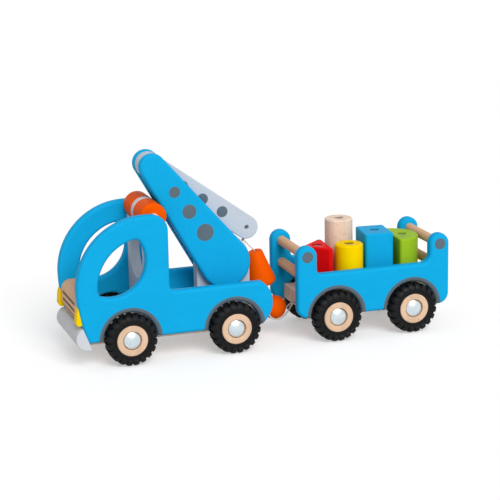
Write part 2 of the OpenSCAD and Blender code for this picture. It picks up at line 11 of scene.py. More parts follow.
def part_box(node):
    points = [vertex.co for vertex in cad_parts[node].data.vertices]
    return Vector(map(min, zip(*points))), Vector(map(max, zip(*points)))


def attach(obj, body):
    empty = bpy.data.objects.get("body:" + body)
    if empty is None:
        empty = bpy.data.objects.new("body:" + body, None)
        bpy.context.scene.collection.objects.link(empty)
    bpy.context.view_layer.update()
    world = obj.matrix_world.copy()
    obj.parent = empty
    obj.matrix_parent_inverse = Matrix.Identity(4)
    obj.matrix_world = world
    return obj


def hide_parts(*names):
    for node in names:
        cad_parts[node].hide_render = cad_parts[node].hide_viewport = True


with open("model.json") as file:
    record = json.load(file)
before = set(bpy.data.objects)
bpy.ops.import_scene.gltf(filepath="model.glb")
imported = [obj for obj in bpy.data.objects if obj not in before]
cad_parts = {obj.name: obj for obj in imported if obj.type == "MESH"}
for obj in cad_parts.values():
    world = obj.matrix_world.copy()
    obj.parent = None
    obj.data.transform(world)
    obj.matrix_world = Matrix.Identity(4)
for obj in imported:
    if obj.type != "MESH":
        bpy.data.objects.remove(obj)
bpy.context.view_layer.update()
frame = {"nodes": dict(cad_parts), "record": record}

bl_info = {
    "name": "Wooden crane truck",
    "version": (1, 0, 0),
    "blender": (4, 5, 0),
    "location": "View3D > Sidebar > Crane truck",
    "description": "Builds the boards, wheels, strings and blocks of a wooden crane truck with a trailer",
    "category": "Add Mesh",
}

BODY_OF = {node: body for body, nodes in frame["record"]["behaviour"]["bodies"].items() for node in nodes}

# Where the truck's front axle is along the frame, in metres
FRONT_AXLE = sum(corner[0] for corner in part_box("hub_front_near")) / 2

# Measures in millimetres. Drawn x starts at the truck's front axle, and drawn z at the floor.
AXLE_Z = 25.0
INNER_HALF = 32.0
OUTER_HALF = 43.0
ARCH_R = 26.0
ARCH_BAND = 4.85
TRUCK_AXLES = (0.0, 103.0)
TRAILER_AXLES = (207.5, 287.5)
CAB_MIDDLE = (16.8, 75.5)
CAB_R = 67.0
CAB_TOP = 142.5
CAB_REAR = 39.7
FRONT_R = 130.0
FRONT_MIDDLE = (CAB_MIDDLE[0] - CAB_R + FRONT_R, CAB_MIDDLE[1])
BED_TOP = 67.5
BASE_TOP = 35.5
BUMPER_Z = 29.1
BUMPER_R = 11.3
LIGHT_AT = (28.7, 138.0)
LIGHT_R = 13.0
BOOM_FOOT = (104.0, 82.0)
BOOM_LEAN = 35.0134
BOOM_LENGTH = 122.0
JIB_DROOP = 36.0
JIB_LENGTH = 117.0
PLATE_HALF = 6.2
ARM_IN = 6.5
ARM_OUT = 16.0
HOOK_TOP = (138.489, 87.2)
HOOK_HEIGHT = 35.0
HOOK_TOP_R = 7.25
HOOK_BASE_R = 14.75
HOOK_SLOPE = math.degrees(math.atan2(HOOK_BASE_R - HOOK_TOP_R, HOOK_HEIGHT))
KNOB_AT = (157.7, 28.0)
TRAILER_FRONT = 167.5
TRAILER_REAR = 327.5
RAIL_R = 4.8
TOP_RAIL_Z = 86.7
LOW_RAIL_Z = 64.3
BLOCK_Z = 42.3
TYRE_R = 25.0
TYRE_HALF = 8.7
TYRE_SHOULDER = 5.0
LUG_FLANK = 1.2

# How far round the rounded edge of a board its printed spots reach
PRINT_WRAP = 2.4


def polar(middle, r, angle):
    """Point on a circle, with the angle in degrees."""
    a = math.radians(angle)
    return (middle[0] + r * math.cos(a), middle[1] + r * math.sin(a))


BOOM_HEAD = polar(BOOM_FOOT, BOOM_LENGTH, 90 + BOOM_LEAN)
JIB_TIP = polar(BOOM_HEAD, JIB_LENGTH, -JIB_DROOP)

# Routes of the strings, from end to end, with drawn x
HOOK_ROUTE = [
    (128.2, 0, 98.3), (128.9, 0, 97.5), (129.6, 0, 96.8), (130.2, 0, 96.1), (130.9, 0, 95.3),
    (131.6, 0, 94.6), (132.3, 0, 93.9), (133, 0, 93.2), (133.6, 0, 92.4), (134.3, 0, 91.7),
    (135, 0, 91), (135.7, 0, 90.2), (136.4, 0, 89.5), (137, 0, 88.8), (137.8, 0, 87.9), (138.5, 0, 86.4),
]
TOW_HALF_ROUTE = [
    (179, 1.2, 31), (177, 1.8, 30), (175, 2.6, 28.4), (172.5, 3.8, 25.8), (170, 5, 23.2),
    (167, 6.4, 20.9), (164, 7.8, 19.3), (161, 8.9, 18.3), (158, 9.6, 17.9), (155, 10.2, 18.2),
    (152.2, 10.8, 19.6), (149.8, 11.3, 21.8), (148, 11.7, 24.6), (146.8, 11.9, 27.6), (146.1, 11.6, 30.4),
    (145.7, 10.4, 32.6), (145.5, 8, 33.8), (145.5, 4, 33.8),
]
TOW_ROUTE = TOW_HALF_ROUTE + [(145.5, 0, 33.8)] + [(x, -y, z) for x, y, z in reversed(TOW_HALF_ROUTE)]


def colour_setting(name, description, default):
    return bpy.props.FloatVectorProperty(
        name=name, description=description, subtype="COLOR_GAMMA", size=3, min=0, max=1, default=default)


def length_setting(name, description, default, low, high):
    return bpy.props.FloatProperty(
        name=name, description=description, default=default, min=low, max=high, unit="LENGTH")


def angle_setting(name, description, degrees):
    return bpy.props.FloatProperty(
        name=name, description=description, subtype="ANGLE", default=math.radians(degrees))


class CraneColours(bpy.types.PropertyGroup):
    """Colours of the paints and of the bare materials"""

    blue: colour_setting("Blue", "Paint of the side panels and the boom", (0.08, 0.67, 0.89))
    grey: colour_setting("Light grey", "Paint of the jib, pedestal and rear wall", (0.78, 0.81, 0.85))
    bumper: colour_setting("Bumper grey", "Paint of the bumper and the light bar's ring", (0.82, 0.83, 0.85))
    printed: colour_setting("Printed grey", "Printed dots and bands, painted rail ends", (0.38, 0.44, 0.48))
    stripe: colour_setting("Stripes", "Printed stripes of the grille", (0.36, 0.29, 0.27))
    orange: colour_setting("Orange", "Paint of the light bar, hook and hitch knob", (0.97, 0.36, 0.01))
    yellow: colour_setting("Yellow", "Paint of the headlamps and the yellow block", (1.0, 0.83, 0.0))
    red: colour_setting("Red", "Paint of the red block", (0.92, 0.07, 0.08))
    green: colour_setting("Green", "Paint of the green block", (0.62, 0.77, 0.16))
    wood: colour_setting("Wood", "Bare beech", (0.97, 0.87, 0.79))
    hub_wood: colour_setting("Hub wood", "Beech of the wheel hubs", (0.91, 0.77, 0.65))
    # Rail wood: a darker, browner copy of the bare beech, partly the beech's own tone and partly painted
    # shade, as the rails and the grille are seen in shade.
    rail_wood_with_shade: colour_setting("Rail wood", "Beech of the rails and the grille", (0.90, 0.73, 0.58))
    rubber: colour_setting("Rubber", "Tyres", (0.045, 0.045, 0.052))
    steel: colour_setting("Steel", "Axle caps and axles", (0.84, 0.88, 0.90))
    disc: colour_setting("Dark steel", "Discs in the blocks and the hook's magnet", (0.36, 0.37, 0.39))
    string: colour_setting("String", "Twisted cotton strings", (0.93, 0.92, 0.88))


class CraneSizes(bpy.types.PropertyGroup):
    """Sizes of the details that the finish adds"""

    board_round: length_setting(
        "Board edge", "Radius of the rounded edges of the painted boards", 0.0032, 0.0005, 0.004)
    fine_round: length_setting(
        "Fine edge", "Radius of the broken edges of the smaller pieces", 0.0012, 0.0003, 0.003)
    lug_count: bpy.props.IntProperty(
        name="Lugs", description="Number of lugs on each shoulder of a tyre", default=20, min=10, max=26)
    lug_height: length_setting("Lug height", "Height of the lugs above the tyre", 0.0018, 0.001, 0.003)
    strand_pitch: length_setting("Strand pitch", "Length of one twist of the strings", 0.0016, 0.0005, 0.006)


class CraneStage(bpy.types.PropertyGroup):
    """Camera and light"""

    camera_at: bpy.props.FloatVectorProperty(
        name="Camera", description="Place of the camera", subtype="TRANSLATION", size=3,
        default=(FRONT_AXLE - 0.3836, -1.55794, 0.50604))
    yaw: angle_setting("Yaw", "Turn of the camera away from +Y", 18.365)
    pitch: angle_setting("Pitch", "Tilt of the camera below the horizon", 14.268)
    roll: angle_setting("Roll", "Roll of the camera", -1.121)
    lens: bpy.props.FloatProperty(
        name="Lens", description="Focal length on a 36 mm frame, in millimetres", default=124.7, min=20,
        max=300)
    sky: bpy.props.FloatProperty(
        name="Sky", description="Strength of the light from all round", default=0.45, min=0, max=2)
    lamp: bpy.props.FloatProperty(
        name="Lamp", description="Strength of the soft key light", default=2.1, min=0, max=10)


def settings():
    scene = bpy.context.scene
    return scene.crane_colours, scene.crane_sizes, scene.crane_stage


def at(x, y, z):
    """Drawn millimetres as a point of the frame, in metres."""
    return Vector((x / 1000 + FRONT_AXLE, y / 1000, z / 1000))


# Outlines, as lists of (x, z) points that run anticlockwise

def arc(middle, r, start, end, step=3.0):
    """Points along a circle from one angle to another, in degrees; a smaller end angle runs clockwise."""
    count = max(3, round(abs(end - start) / step))
    return [polar(middle, r, start + (end - start) * i / count) for i in range(count + 1)]


def bearing(start, end):
    return math.degrees(math.atan2(end[1] - start[1], end[0] - start[0]))


def crossing(c1, r1, c2, r2, side):
    """Where two circles cross, on the left (side 1) or right (side -1) of the way between their middles."""
    d = math.dist(c1, c2)
    a = (r1 * r1 - r2 * r2 + d * d) / (2 * d)
    h = math.sqrt(r1 * r1 - a * a)
    ux, uz = (c2[0] - c1[0]) / d, (c2[1] - c1[1]) / d
    return (c1[0] + a * ux - side * h * uz, c1[1] + a * uz + side * h * ux)


def arches(axles):
    """Bottom edge of a side panel from its first arch to its last, at axle height."""
    return [p for x in axles for p in arc((x, AXLE_Z), ARCH_R, 180, 0)]


def arch_bands(axles):
    """Printed bands round the arches, as spots around the axles."""
    return [((x, AXLE_Z), ARCH_R + ARCH_BAND) for x in axles]


def rectangle(left, low, right, high):
    return [(left, low), (right, low), (right, high), (left, high)]


def truck_outline():
    corner_r, fillet_r, end_r = 16.0, 6.0, 25.5
    end_middle = (117.0, (AXLE_Z + BED_TOP) / 2)
    end_angle = math.degrees(math.asin((BED_TOP - end_middle[1]) / end_r))
    foot_angle = math.degrees(math.asin((FRONT_MIDDLE[1] - AXLE_Z) / FRONT_R))
    points = arches(TRUCK_AXLES)
    points += arc(end_middle, end_r, -end_angle, end_angle)
    points += arc((CAB_REAR + fillet_r, BED_TOP + fillet_r), fillet_r, 270, 180, 10)
    points += arc((CAB_REAR - corner_r, CAB_TOP - corner_r), corner_r, 0, 90)
    points += arc(CAB_MIDDLE, CAB_R, 90, 180)
    points += arc(FRONT_MIDDLE, FRONT_R, 180, 180 + foot_angle)[1:]
    return points


def window_outline():
    """Overlap of two circles, with both corners rounded."""
    back_middle, back_r, front_r, corner_r = (-16.0, 100.0), 33.3, CAB_R - 20.6, 6.0
    low, high = [crossing(CAB_MIDDLE, front_r - corner_r, back_middle, back_r - corner_r, s) for s in (1, -1)]
    rounds = [
        (CAB_MIDDLE, front_r, bearing(CAB_MIDDLE, high), bearing(CAB_MIDDLE, low)),
        (low, corner_r, bearing(CAB_MIDDLE, low), bearing(back_middle, low)),
        (back_middle, back_r, bearing(back_middle, low), bearing(back_middle, high)),
        (high, corner_r, bearing(back_middle, high), bearing(CAB_MIDDLE, high)),
    ]
    points = []
    for middle, r, start, end in rounds:
        points += arc(middle, r, start, end if end > start else end + 360, 4)[:-1]
    return points


def front_seat(lean):
    """Middle of a flat seat on the panels' front edge, at a lean from the vertical in degrees."""
    inset = 0.4
    return polar(FRONT_MIDDLE, FRONT_R - inset, 180 + lean)


BUMPER_LEAN = math.degrees(math.asin((FRONT_MIDDLE[1] - BUMPER_Z) / FRONT_R))


def seat_x(z):
    """Where the plane of the bumper's seat is at a height."""
    seat = front_seat(BUMPER_LEAN)
    return seat[0] - (z - seat[1]) * math.tan(math.radians(BUMPER_LEAN))


def trailer_outline():
    foot_r, post_w, post_top, side_top = 11.0, 20.5, 97.0, 68.3
    front_fillet, rear_fillet = 5.0, 9.0
    post_z = post_top - post_w / 2
    front_inner, rear_inner = TRAILER_FRONT + post_w, TRAILER_REAR - post_w
    points = arc((TRAILER_FRONT + foot_r, AXLE_Z + foot_r), foot_r, 180, 270, 6)
    points += arches(TRAILER_AXLES)
    points += arc((TRAILER_REAR - foot_r, AXLE_Z + foot_r), foot_r, 270, 360, 6)
    points += arc((TRAILER_REAR - post_w / 2, post_z), post_w / 2, 0, 180, 5)
    points += arc((rear_inner - rear_fillet, side_top + rear_fillet), rear_fillet, 0, -90, 8)
    points += arc((front_inner + front_fillet, side_top + front_fillet), front_fillet, 270, 180, 10)
    points += arc((TRAILER_FRONT + post_w / 2, post_z), post_w / 2, 0, 180, 5)
    return points


def tapered_outline(start, r1, r2, length, angle):
    """Bar with two round ends of different radius."""
    tangent = math.degrees(math.acos((r1 - r2) / length))
    points = arc(start, r1, angle + tangent, angle + 360 - tangent)
    points += arc(polar(start, length, angle), r2, angle - tangent, angle + tangent)
    return points


def circle_outline(middle, r):
    return arc(middle, r, 0, 360, 6)[:-1]


def rounded_corners(corners, r):
    """Convex outline around equal circles at its corners, given anticlockwise."""
    points = []
    for i, c in enumerate(corners):
        before = bearing(corners[i - 1], c) - 90
        after = bearing(c, corners[(i + 1) % len(corners)]) - 90
        points += arc(c, r, before, after if after > before else after + 360, 8)
    return points


# Meshes

X_AXIS = (1, 0, 0)
Y_AXIS = (0, 1, 0)
Z_AXIS = (0, 0, 1)

# Points closer than MERGE_GAP, in metres, are one point. A radius below ON_AXIS, in millimetres, is none.
# Edges sharper than SHARP_EDGE, in degrees, stay sharp.
MERGE_GAP = 1e-6
ON_AXIS = 1e-6
SHARP_EDGE = 35.0


def new_object(name, data):
    piece = bpy.data.objects.new(name, data)
    bpy.context.scene.collection.objects.link(piece)
    return piece


def mesh_from(form, name):
    """Turn a finished form into a mesh with its faces outward."""
    bmesh.ops.recalc_face_normals(form, faces=form.faces)
    mesh = bpy.data.meshes.new(name)
    form.to_mesh(mesh)
    form.free()
    return mesh


def shade(mesh):
    """Soft shading, apart from the sharp edges."""
    mesh.shade_smooth()
    mesh.set_sharp_from_angle(angle=math.radians(SHARP_EDGE))


def evaluated_mesh(piece):
    depsgraph = bpy.context.evaluated_depsgraph_get()
    return bpy.data.meshes.new_from_object(piece.evaluated_get(depsgraph), depsgraph=depsgraph)


def settle(piece):
    """Turn a piece with modifiers into one plain mesh with merged points, outward faces and soft shading."""
    mesh = evaluated_mesh(piece)
    piece.modifiers.clear()
    form = bmesh.new()
    form.from_mesh(mesh)
    bmesh.ops.remove_doubles(form, verts=form.verts, dist=MERGE_GAP)
    bmesh.ops.dissolve_degenerate(form, edges=form.edges, dist=MERGE_GAP)
    bmesh.ops.recalc_face_normals(form, faces=form.faces)
    form.to_mesh(mesh)
    form.free()
    shade(mesh)
    piece.data = mesh
    return piece


def weighted(piece):
    """Let the flat faces of a rounded board keep their flat shading."""
    piece.modifiers.new("even shading", "WEIGHTED_NORMAL").keep_sharp = True
    piece.data = evaluated_mesh(piece)
    piece.modifiers.clear()
    return piece


def board(name, outlines, low, high, rounding, place):
    """Board with the given outlines and rounded edges; place turns its (u, v, depth) into the frame."""
    curve = bpy.data.curves.new(name, "CURVE")
    curve.dimensions = "2D"
    curve.fill_mode = "BOTH"
    curve.bevel_depth = rounding
    curve.bevel_resolution = 4
    curve.extrude = (high - low) / 2 - rounding
    curve.offset = -rounding
    for outline in outlines:
        spline = curve.splines.new("POLY")
        spline.points.add(len(outline) - 1)
        for point, (u, v) in zip(spline.points, outline):
            point.co = (u, v, 0, 1)
        spline.use_cyclic_u = True
    drawn = new_object(name + "_outline", curve)
    mesh = evaluated_mesh(drawn)
    bpy.data.objects.remove(drawn)
    mesh.transform(place @ Matrix.Translation((0, 0, (low + high) / 2)))
    return weighted(settle(new_object(name, mesh)))


# Places of a board: upright along the truck, upright across it, and lying flat
ALONG = Matrix(((1, 0, 0, 0), (0, 0, 1, 0), (0, 1, 0, 0), (0, 0, 0, 1)))
ACROSS = Matrix(((0, 0, 1, 0), (1, 0, 0, 0), (0, 1, 0, 0), (0, 0, 0, 1)))
FLAT = Matrix.Identity(4)


def side_board(name, outlines, y_low, y_high, rounding):
    """Board in the x-z plane, from drawn millimetres."""
    drawn = [[(x / 1000 + FRONT_AXLE, z / 1000) for x, z in outline] for outline in outlines]
    return board(name, drawn, y_low / 1000, y_high / 1000, rounding, ALONG)


def turned(name, profile, middle, axis, segments=96):
    """Closed turned form: profile is (radius, height) in millimetres along an axis from a drawn point."""
    turn = Vector(axis).normalized().to_track_quat("Z", "Y").to_matrix().to_4x4()
    form = bmesh.new()
    rings = []
    for r, h in profile:
        count = 1 if r < ON_AXIS else segments
        ring = []
        for k in range(count):
            a = 2 * math.pi * k / segments
            ring.append(form.verts.new((r * math.cos(a) / 1000, r * math.sin(a) / 1000, h / 1000)))
        rings.append(ring)
    for low, high in zip(rings, rings[1:] + rings[:1]):
        if len(low) == 1 and len(high) == 1:
            continue
        for k in range(segments):
            n = k + 1
            corners = [low[k % len(low)], low[n % len(low)], high[n % len(high)], high[k % len(high)]]
            form.faces.new(list(dict.fromkeys(corners)))
    mesh = mesh_from(form, name)
    mesh.transform(Matrix.Translation(at(*middle)) @ turn)
    shade(mesh)
    return new_object(name, mesh)


def round_bar(name, x, z, r, half, segments):
    """Round bar across the truck, with flat ends."""
    profile = [(0, -half), (r, -half), (r, half), (0, half)]
    return turned(name, profile, (x, 0, z), Y_AXIS, segments)


def joined(name, pieces):
    """One object from several that belong together."""
    form = bmesh.new()
    for piece in pieces:
        form.from_mesh(piece.data)
        bpy.data.objects.remove(piece)
    return new_object(name, mesh_from(form, name))


def drilled(piece, middle, r, low, high):
    """Cut an upright round hole, given in drawn millimetres."""
    profile = [(0, low), (r, low), (r, high), (0, high)]
    drill = turned(piece.name + "_drill", profile, middle, Z_AXIS, 64)
    cut = piece.modifiers.new("hole", "BOOLEAN")
    cut.operation = "DIFFERENCE"
    cut.solver = "EXACT"
    cut.object = drill
    settle(piece)
    bpy.data.objects.remove(drill)
    return weighted(piece)


def rope(name, route, diameter, pitch, sides=12):
    """Round tube along a route, with a UV map that follows it: u round the string, v in twists along it."""
    points = [at(*p) for p in route]
    r = diameter / 2000
    lean = Vector((0.2, 0.35, 1))
    form = bmesh.new()
    uv = form.loops.layers.uv.new("strand")
    rings = []
    lengths = [0.0]
    for i, p in enumerate(points):
        t = points[min(i + 1, len(points) - 1)] - points[max(i - 1, 0)]
        u = t.cross(lean).normalized()
        v = t.cross(u).normalized()
        ring = []
        for k in range(sides):
            a = 2 * math.pi * k / sides
            ring.append(form.verts.new(p + r * (math.cos(a) * u + math.sin(a) * v)))
        rings.append(ring)
        if i:
            lengths.append(lengths[-1] + (p - points[i - 1]).length)
    for i in range(len(rings) - 1):
        for k in range(sides):
            n = (k + 1) % sides
            face = form.faces.new((rings[i][k], rings[i][n], rings[i + 1][n], rings[i + 1][k]))
            marks = ((k, i), (k + 1, i), (k + 1, i + 1), (k, i + 1))
            for loop, (around, along) in zip(face.loops, marks):
                loop[uv].uv = (around / sides, lengths[along] / pitch)
    form.faces.new(rings[0])
    form.faces.new(rings[-1])
    mesh = mesh_from(form, name)
    mesh.shade_smooth()
    return new_object(name, mesh)


# Finishes

# How strongly each surface shines
PAINT_GLOSS = 0.012
WOOD_GLOSS = 0.04
RUBBER_GLOSS = 0.2

FLECK_BROWN = (0.62, 0.44, 0.31)

# The colour sockets of a mix node share their names with others, so they are found by number
MIX_FIRST = 6
MIX_SECOND = 7
MIX_RESULT = 2


def linear(colour, factor=1.0):
    """A written colour as the shader takes it."""
    steps = [c / 12.92 if c <= 0.04045 else ((c + 0.055) / 1.055) ** 2.4 for c in colour]
    return (*[min(1.0, s * factor) for s in steps], 1.0)


class Nodes:
    """A node tree under construction, with short ways to add and join its nodes."""

    def __init__(self, tree):
        self.tree = tree

    def add(self, kind, inputs=None, **values):
        """A new node, whose inputs take plain values or the outputs of other nodes."""
        node = self.tree.nodes.new(kind)
        for key, value in values.items():
            setattr(node, key, value)
        for socket, source in (inputs or {}).items():
            self.join(source, node.inputs[socket])
        return node

    def join(self, source, target):
        if isinstance(source, bpy.types.NodeSocket):
            self.tree.links.new(source, target)
        else:
            target.default_value = source

    def calc(self, operation, a, b=0.0):
        return self.add("ShaderNodeMath", {0: a, 1: b}, operation=operation).outputs[0]

    def most(self, values):
        result = values[0]
        for value in values[1:]:
            result = self.calc("MAXIMUM", result, value)
        return result

    def ramp(self, value, low, high, out_low=0.0, out_high=1.0):
        inputs = {"Value": value, "From Min": low, "From Max": high, "To Min": out_low, "To Max": out_high}
        return self.add("ShaderNodeMapRange", inputs).outputs["Result"]


class Finish(Nodes):
    """A material under construction."""

    def __init__(self, name):
        self.material = bpy.data.materials.new(name)
        self.material.use_nodes = True
        super().__init__(self.material.node_tree)
        self.shader = self.tree.nodes["Principled BSDF"]
        self.place = self.add("ShaderNodeTexCoord").outputs["Object"]

    def surface(self, inputs):
        for socket, source in inputs.items():
            self.join(source, self.shader.inputs[socket])

    def bump(self, height, strength, distance):
        node = self.add("ShaderNodeBump", {"Strength": strength, "Distance": distance, "Height": height})
        self.surface({"Normal": node.outputs["Normal"]})

    def noise(self, scale, detail, roughness):
        """Noise with a scale of its own along each axis."""
        stretched = self.add("ShaderNodeMapping", {"Vector": self.place, "Scale": scale}).outputs["Vector"]
        inputs = {"Vector": stretched, "Scale": 1.0, "Detail": detail, "Roughness": roughness}
        return self.add("ShaderNodeTexNoise", inputs).outputs["Fac"]

    def mix(self, share, a, b):
        inputs = {"Factor": share, MIX_FIRST: a, MIX_SECOND: b}
        return self.add("ShaderNodeMix", inputs, data_type="RGBA").outputs[MIX_RESULT]

    def axis(self, name):
        return self.add("ShaderNodeSeparateXYZ", {0: self.place}).outputs[name]

    def aside(self):
        """Distance from the middle plane."""
        return self.calc("ABSOLUTE", self.axis("Y"))

    def below(self, value, limit, blur):
        """1 where a length is below a limit in millimetres, 0 above it, with a soft edge."""
        return self.ramp(value, (limit - blur) / 1000, (limit + blur) / 1000, 1.0, 0.0)

    def beyond(self, value, limit, blur):
        """1 from a limit in millimetres on, 0 well below it."""
        return self.ramp(value, (limit - blur) / 1000, limit / 1000)

    def spot(self, middle, r):
        """1 inside a circle of the x-z plane given in drawn millimetres, 0 outside it."""
        flat = self.add("ShaderNodeCombineXYZ", {"X": self.axis("X"), "Z": self.axis("Z")}).outputs[0]
        place = at(middle[0], 0, middle[1])
        gap = self.add("ShaderNodeVectorMath", {0: flat, 1: place}, operation="DISTANCE").outputs["Value"]
        return self.below(gap, r, 0.25)


def along(grain, fine, coarse):
    """Scale of a noise that is stretched along the grain."""
    return tuple(coarse if axis == grain else fine for axis in "XYZ")


def painted(name, colour, grain, prints=(), ink=None, outside=0.0):
    """Satin paint on wood, through which the grain shows faintly, with printed spots where asked for.

    prints is a list of ((x, z), radius); outside is how far from the middle plane they start to show."""
    finish = Finish(name)
    streaks = finish.noise(along(grain, 900, 60), 4.0, 0.6)
    clouds = finish.noise((45, 45, 45), 2.0, 0.5)
    tone = finish.mix(finish.ramp(streaks, 0.3, 0.7), linear(colour, 0.96), linear(colour, 1.03))
    tone = finish.mix(finish.ramp(clouds, 0.35, 0.75, 0.0, 0.3), tone, linear(colour, 0.92))
    if prints:
        spots = finish.most([finish.spot(middle, r) for middle, r in prints])
        mask = finish.calc("MULTIPLY", spots, finish.beyond(finish.aside(), outside, 0.2))
        worn = finish.mix(finish.ramp(clouds, 0.3, 0.8), linear(ink, 0.92), linear(ink, 1.06))
        tone = finish.mix(mask, tone, worn)
    dullness = finish.ramp(clouds, 0.25, 0.75, 0.26, 0.38)
    finish.surface({"Base Color": tone, "Roughness": dullness, "Specular IOR Level": PAINT_GLOSS})
    finish.bump(streaks, 0.08, 0.0004)
    return finish.material


def beech(name, colour, grain):
    """Bare beech: fine pores, short darker flecks and soft growth bands along the grain."""
    finish = Finish(name)
    pores = finish.noise(along(grain, 900, 60), 5.0, 0.65)
    bands = finish.noise(along(grain, 130, 8), 2.0, 0.5)
    flecks = finish.noise(along(grain, 1700, 260), 1.0, 0.5)
    tone = finish.mix(finish.ramp(bands, 0.3, 0.7), linear(colour, 0.88), linear(colour, 1.06))
    tone = finish.mix(finish.ramp(pores, 0.35, 0.75, 0.0, 0.4), tone, linear(colour, 0.78))
    tone = finish.mix(finish.ramp(flecks, 0.64, 0.72, 0.0, 0.45), tone, linear(FLECK_BROWN))
    dullness = finish.ramp(pores, 0.25, 0.75, 0.42, 0.6)
    finish.surface({"Base Color": tone, "Roughness": dullness, "Specular IOR Level": WOOD_GLOSS})
    finish.bump(pores, 0.15, 0.0004)
    return finish, tone


def bare_wood(name, colour, grain):
    return beech(name, colour, grain)[0].material


def striped_wood(name, colour, ink, levels, height, rear, reach):
    """Bare wood across the truck with stripes printed on its front, back to rear and out to reach."""
    finish, tone = beech(name, colour, "Y")
    z = finish.axis("Z")
    stripes = []
    for level in levels:
        gap = finish.calc("ABSOLUTE", finish.calc("SUBTRACT", z, level / 1000))
        stripes.append(finish.below(gap, height / 2, 0.2))
    face = finish.ramp(finish.axis("X"), at(rear, 0, 0).x, at(rear + 0.3, 0, 0).x, 1.0, 0.0)
    within = finish.below(finish.aside(), reach, 0.2)
    mask = finish.calc("MULTIPLY", finish.calc("MULTIPLY", finish.most(stripes), face), within)
    finish.surface({"Base Color": finish.mix(mask, tone, linear(ink))})
    return finish.material


def tipped_wood(name, colour, ink, reach):
    """Bare rails across the trailer whose outer ends are painted."""
    finish, tone = beech(name, colour, "Y")
    mask = finish.beyond(finish.aside(), reach, 0.3)
    finish.surface({"Base Color": finish.mix(mask, tone, linear(ink))})
    return finish.material


def tyre_rubber(name, colour):
    """Dull moulded rubber with dust in its pores."""
    finish = Finish(name)
    pores = finish.noise((1400, 1400, 1400), 3.0, 0.6)
    dust = finish.noise((120, 120, 120), 4.0, 0.6)
    tone = finish.mix(finish.ramp(dust, 0.4, 0.8, 0.0, 0.5), linear(colour), linear(colour, 1.4))
    dullness = finish.ramp(dust, 0.3, 0.7, 0.45, 0.7)
    finish.surface({"Base Color": tone, "Roughness": dullness, "Specular IOR Level": RUBBER_GLOSS})
    finish.bump(pores, 0.25, 0.0003)
    return finish.material


def plated_steel(name, colour):
    """Bright plated steel with fine scratches."""
    finish = Finish(name)
    scratches = finish.noise((300, 2600, 2600), 3.0, 0.6)
    smudges = finish.noise((160, 160, 160), 3.0, 0.5)
    tone = finish.mix(finish.ramp(smudges, 0.35, 0.75, 0.0, 0.6), linear(colour), linear(colour, 0.8))
    dullness = finish.ramp(smudges, 0.3, 0.7, 0.2, 0.34)
    finish.surface({"Base Color": tone, "Roughness": dullness, "Metallic": 1.0})
    finish.bump(scratches, 0.08, 0.0002)
    return finish.material


def twisted_cotton(name, colour):
    """Twisted cotton: strands run round the string along its own UV map, with painted shade in the grooves
    between them.
    """
    finish = Finish(name)
    uv = finish.add("ShaderNodeUVMap", uv_map="strand").outputs["UV"]
    parts = finish.add("ShaderNodeSeparateXYZ", {0: uv}).outputs
    turns = finish.calc("ADD", finish.calc("MULTIPLY", parts["X"], 2.0), parts["Y"])
    strand = finish.calc("PINGPONG", turns, 0.5)
    # The colour is painted darker between the strands, down to 0.55 of the cotton: painted shade in the
    # grooves. The bump follows the same pattern.
    tone = finish.mix(finish.ramp(strand, 0.0, 0.5), linear(colour, 0.55), linear(colour))
    fibres = finish.noise((2500, 2500, 2500), 2.0, 0.5)
    finish.surface({"Base Color": tone, "Roughness": finish.ramp(fibres, 0.3, 0.7, 0.75, 0.95)})
    finish.bump(strand, 0.5, 0.0004)
    return finish.material


def fit_out(piece, node, material):
    """Give a finished piece its material, and let it stand for a node and move with that node's body."""
    piece.data.materials.clear()
    piece.data.materials.append(material)
    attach(piece, BODY_OF[node])
    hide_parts(node)


def finish_node(node, material):
    """Give a node of the frame that keeps its shape a better material."""
    shown = frame["nodes"][node]
    if not shown.material_slots:
        raise RuntimeError(f"{node} has no material slot")
    for place in shown.material_slots:
        place.material = material


def shared_material(name, maker, *values):
    """A material that several pieces use, made once."""
    found = bpy.data.materials.get(name)
    return found if found else maker(name, *values)


def fit_side_pair(name, node, outlines, inner, outer, rounding, paint):
    """Two blue boards with the same outlines, one on each side of the middle plane."""
    for side, low, high in (("near", -outer, -inner), ("far", inner, outer)):
        piece = side_board(f"{name}_{side}", outlines, low, high, rounding)
        fit_out(piece, f"{node}_{side}", paint)


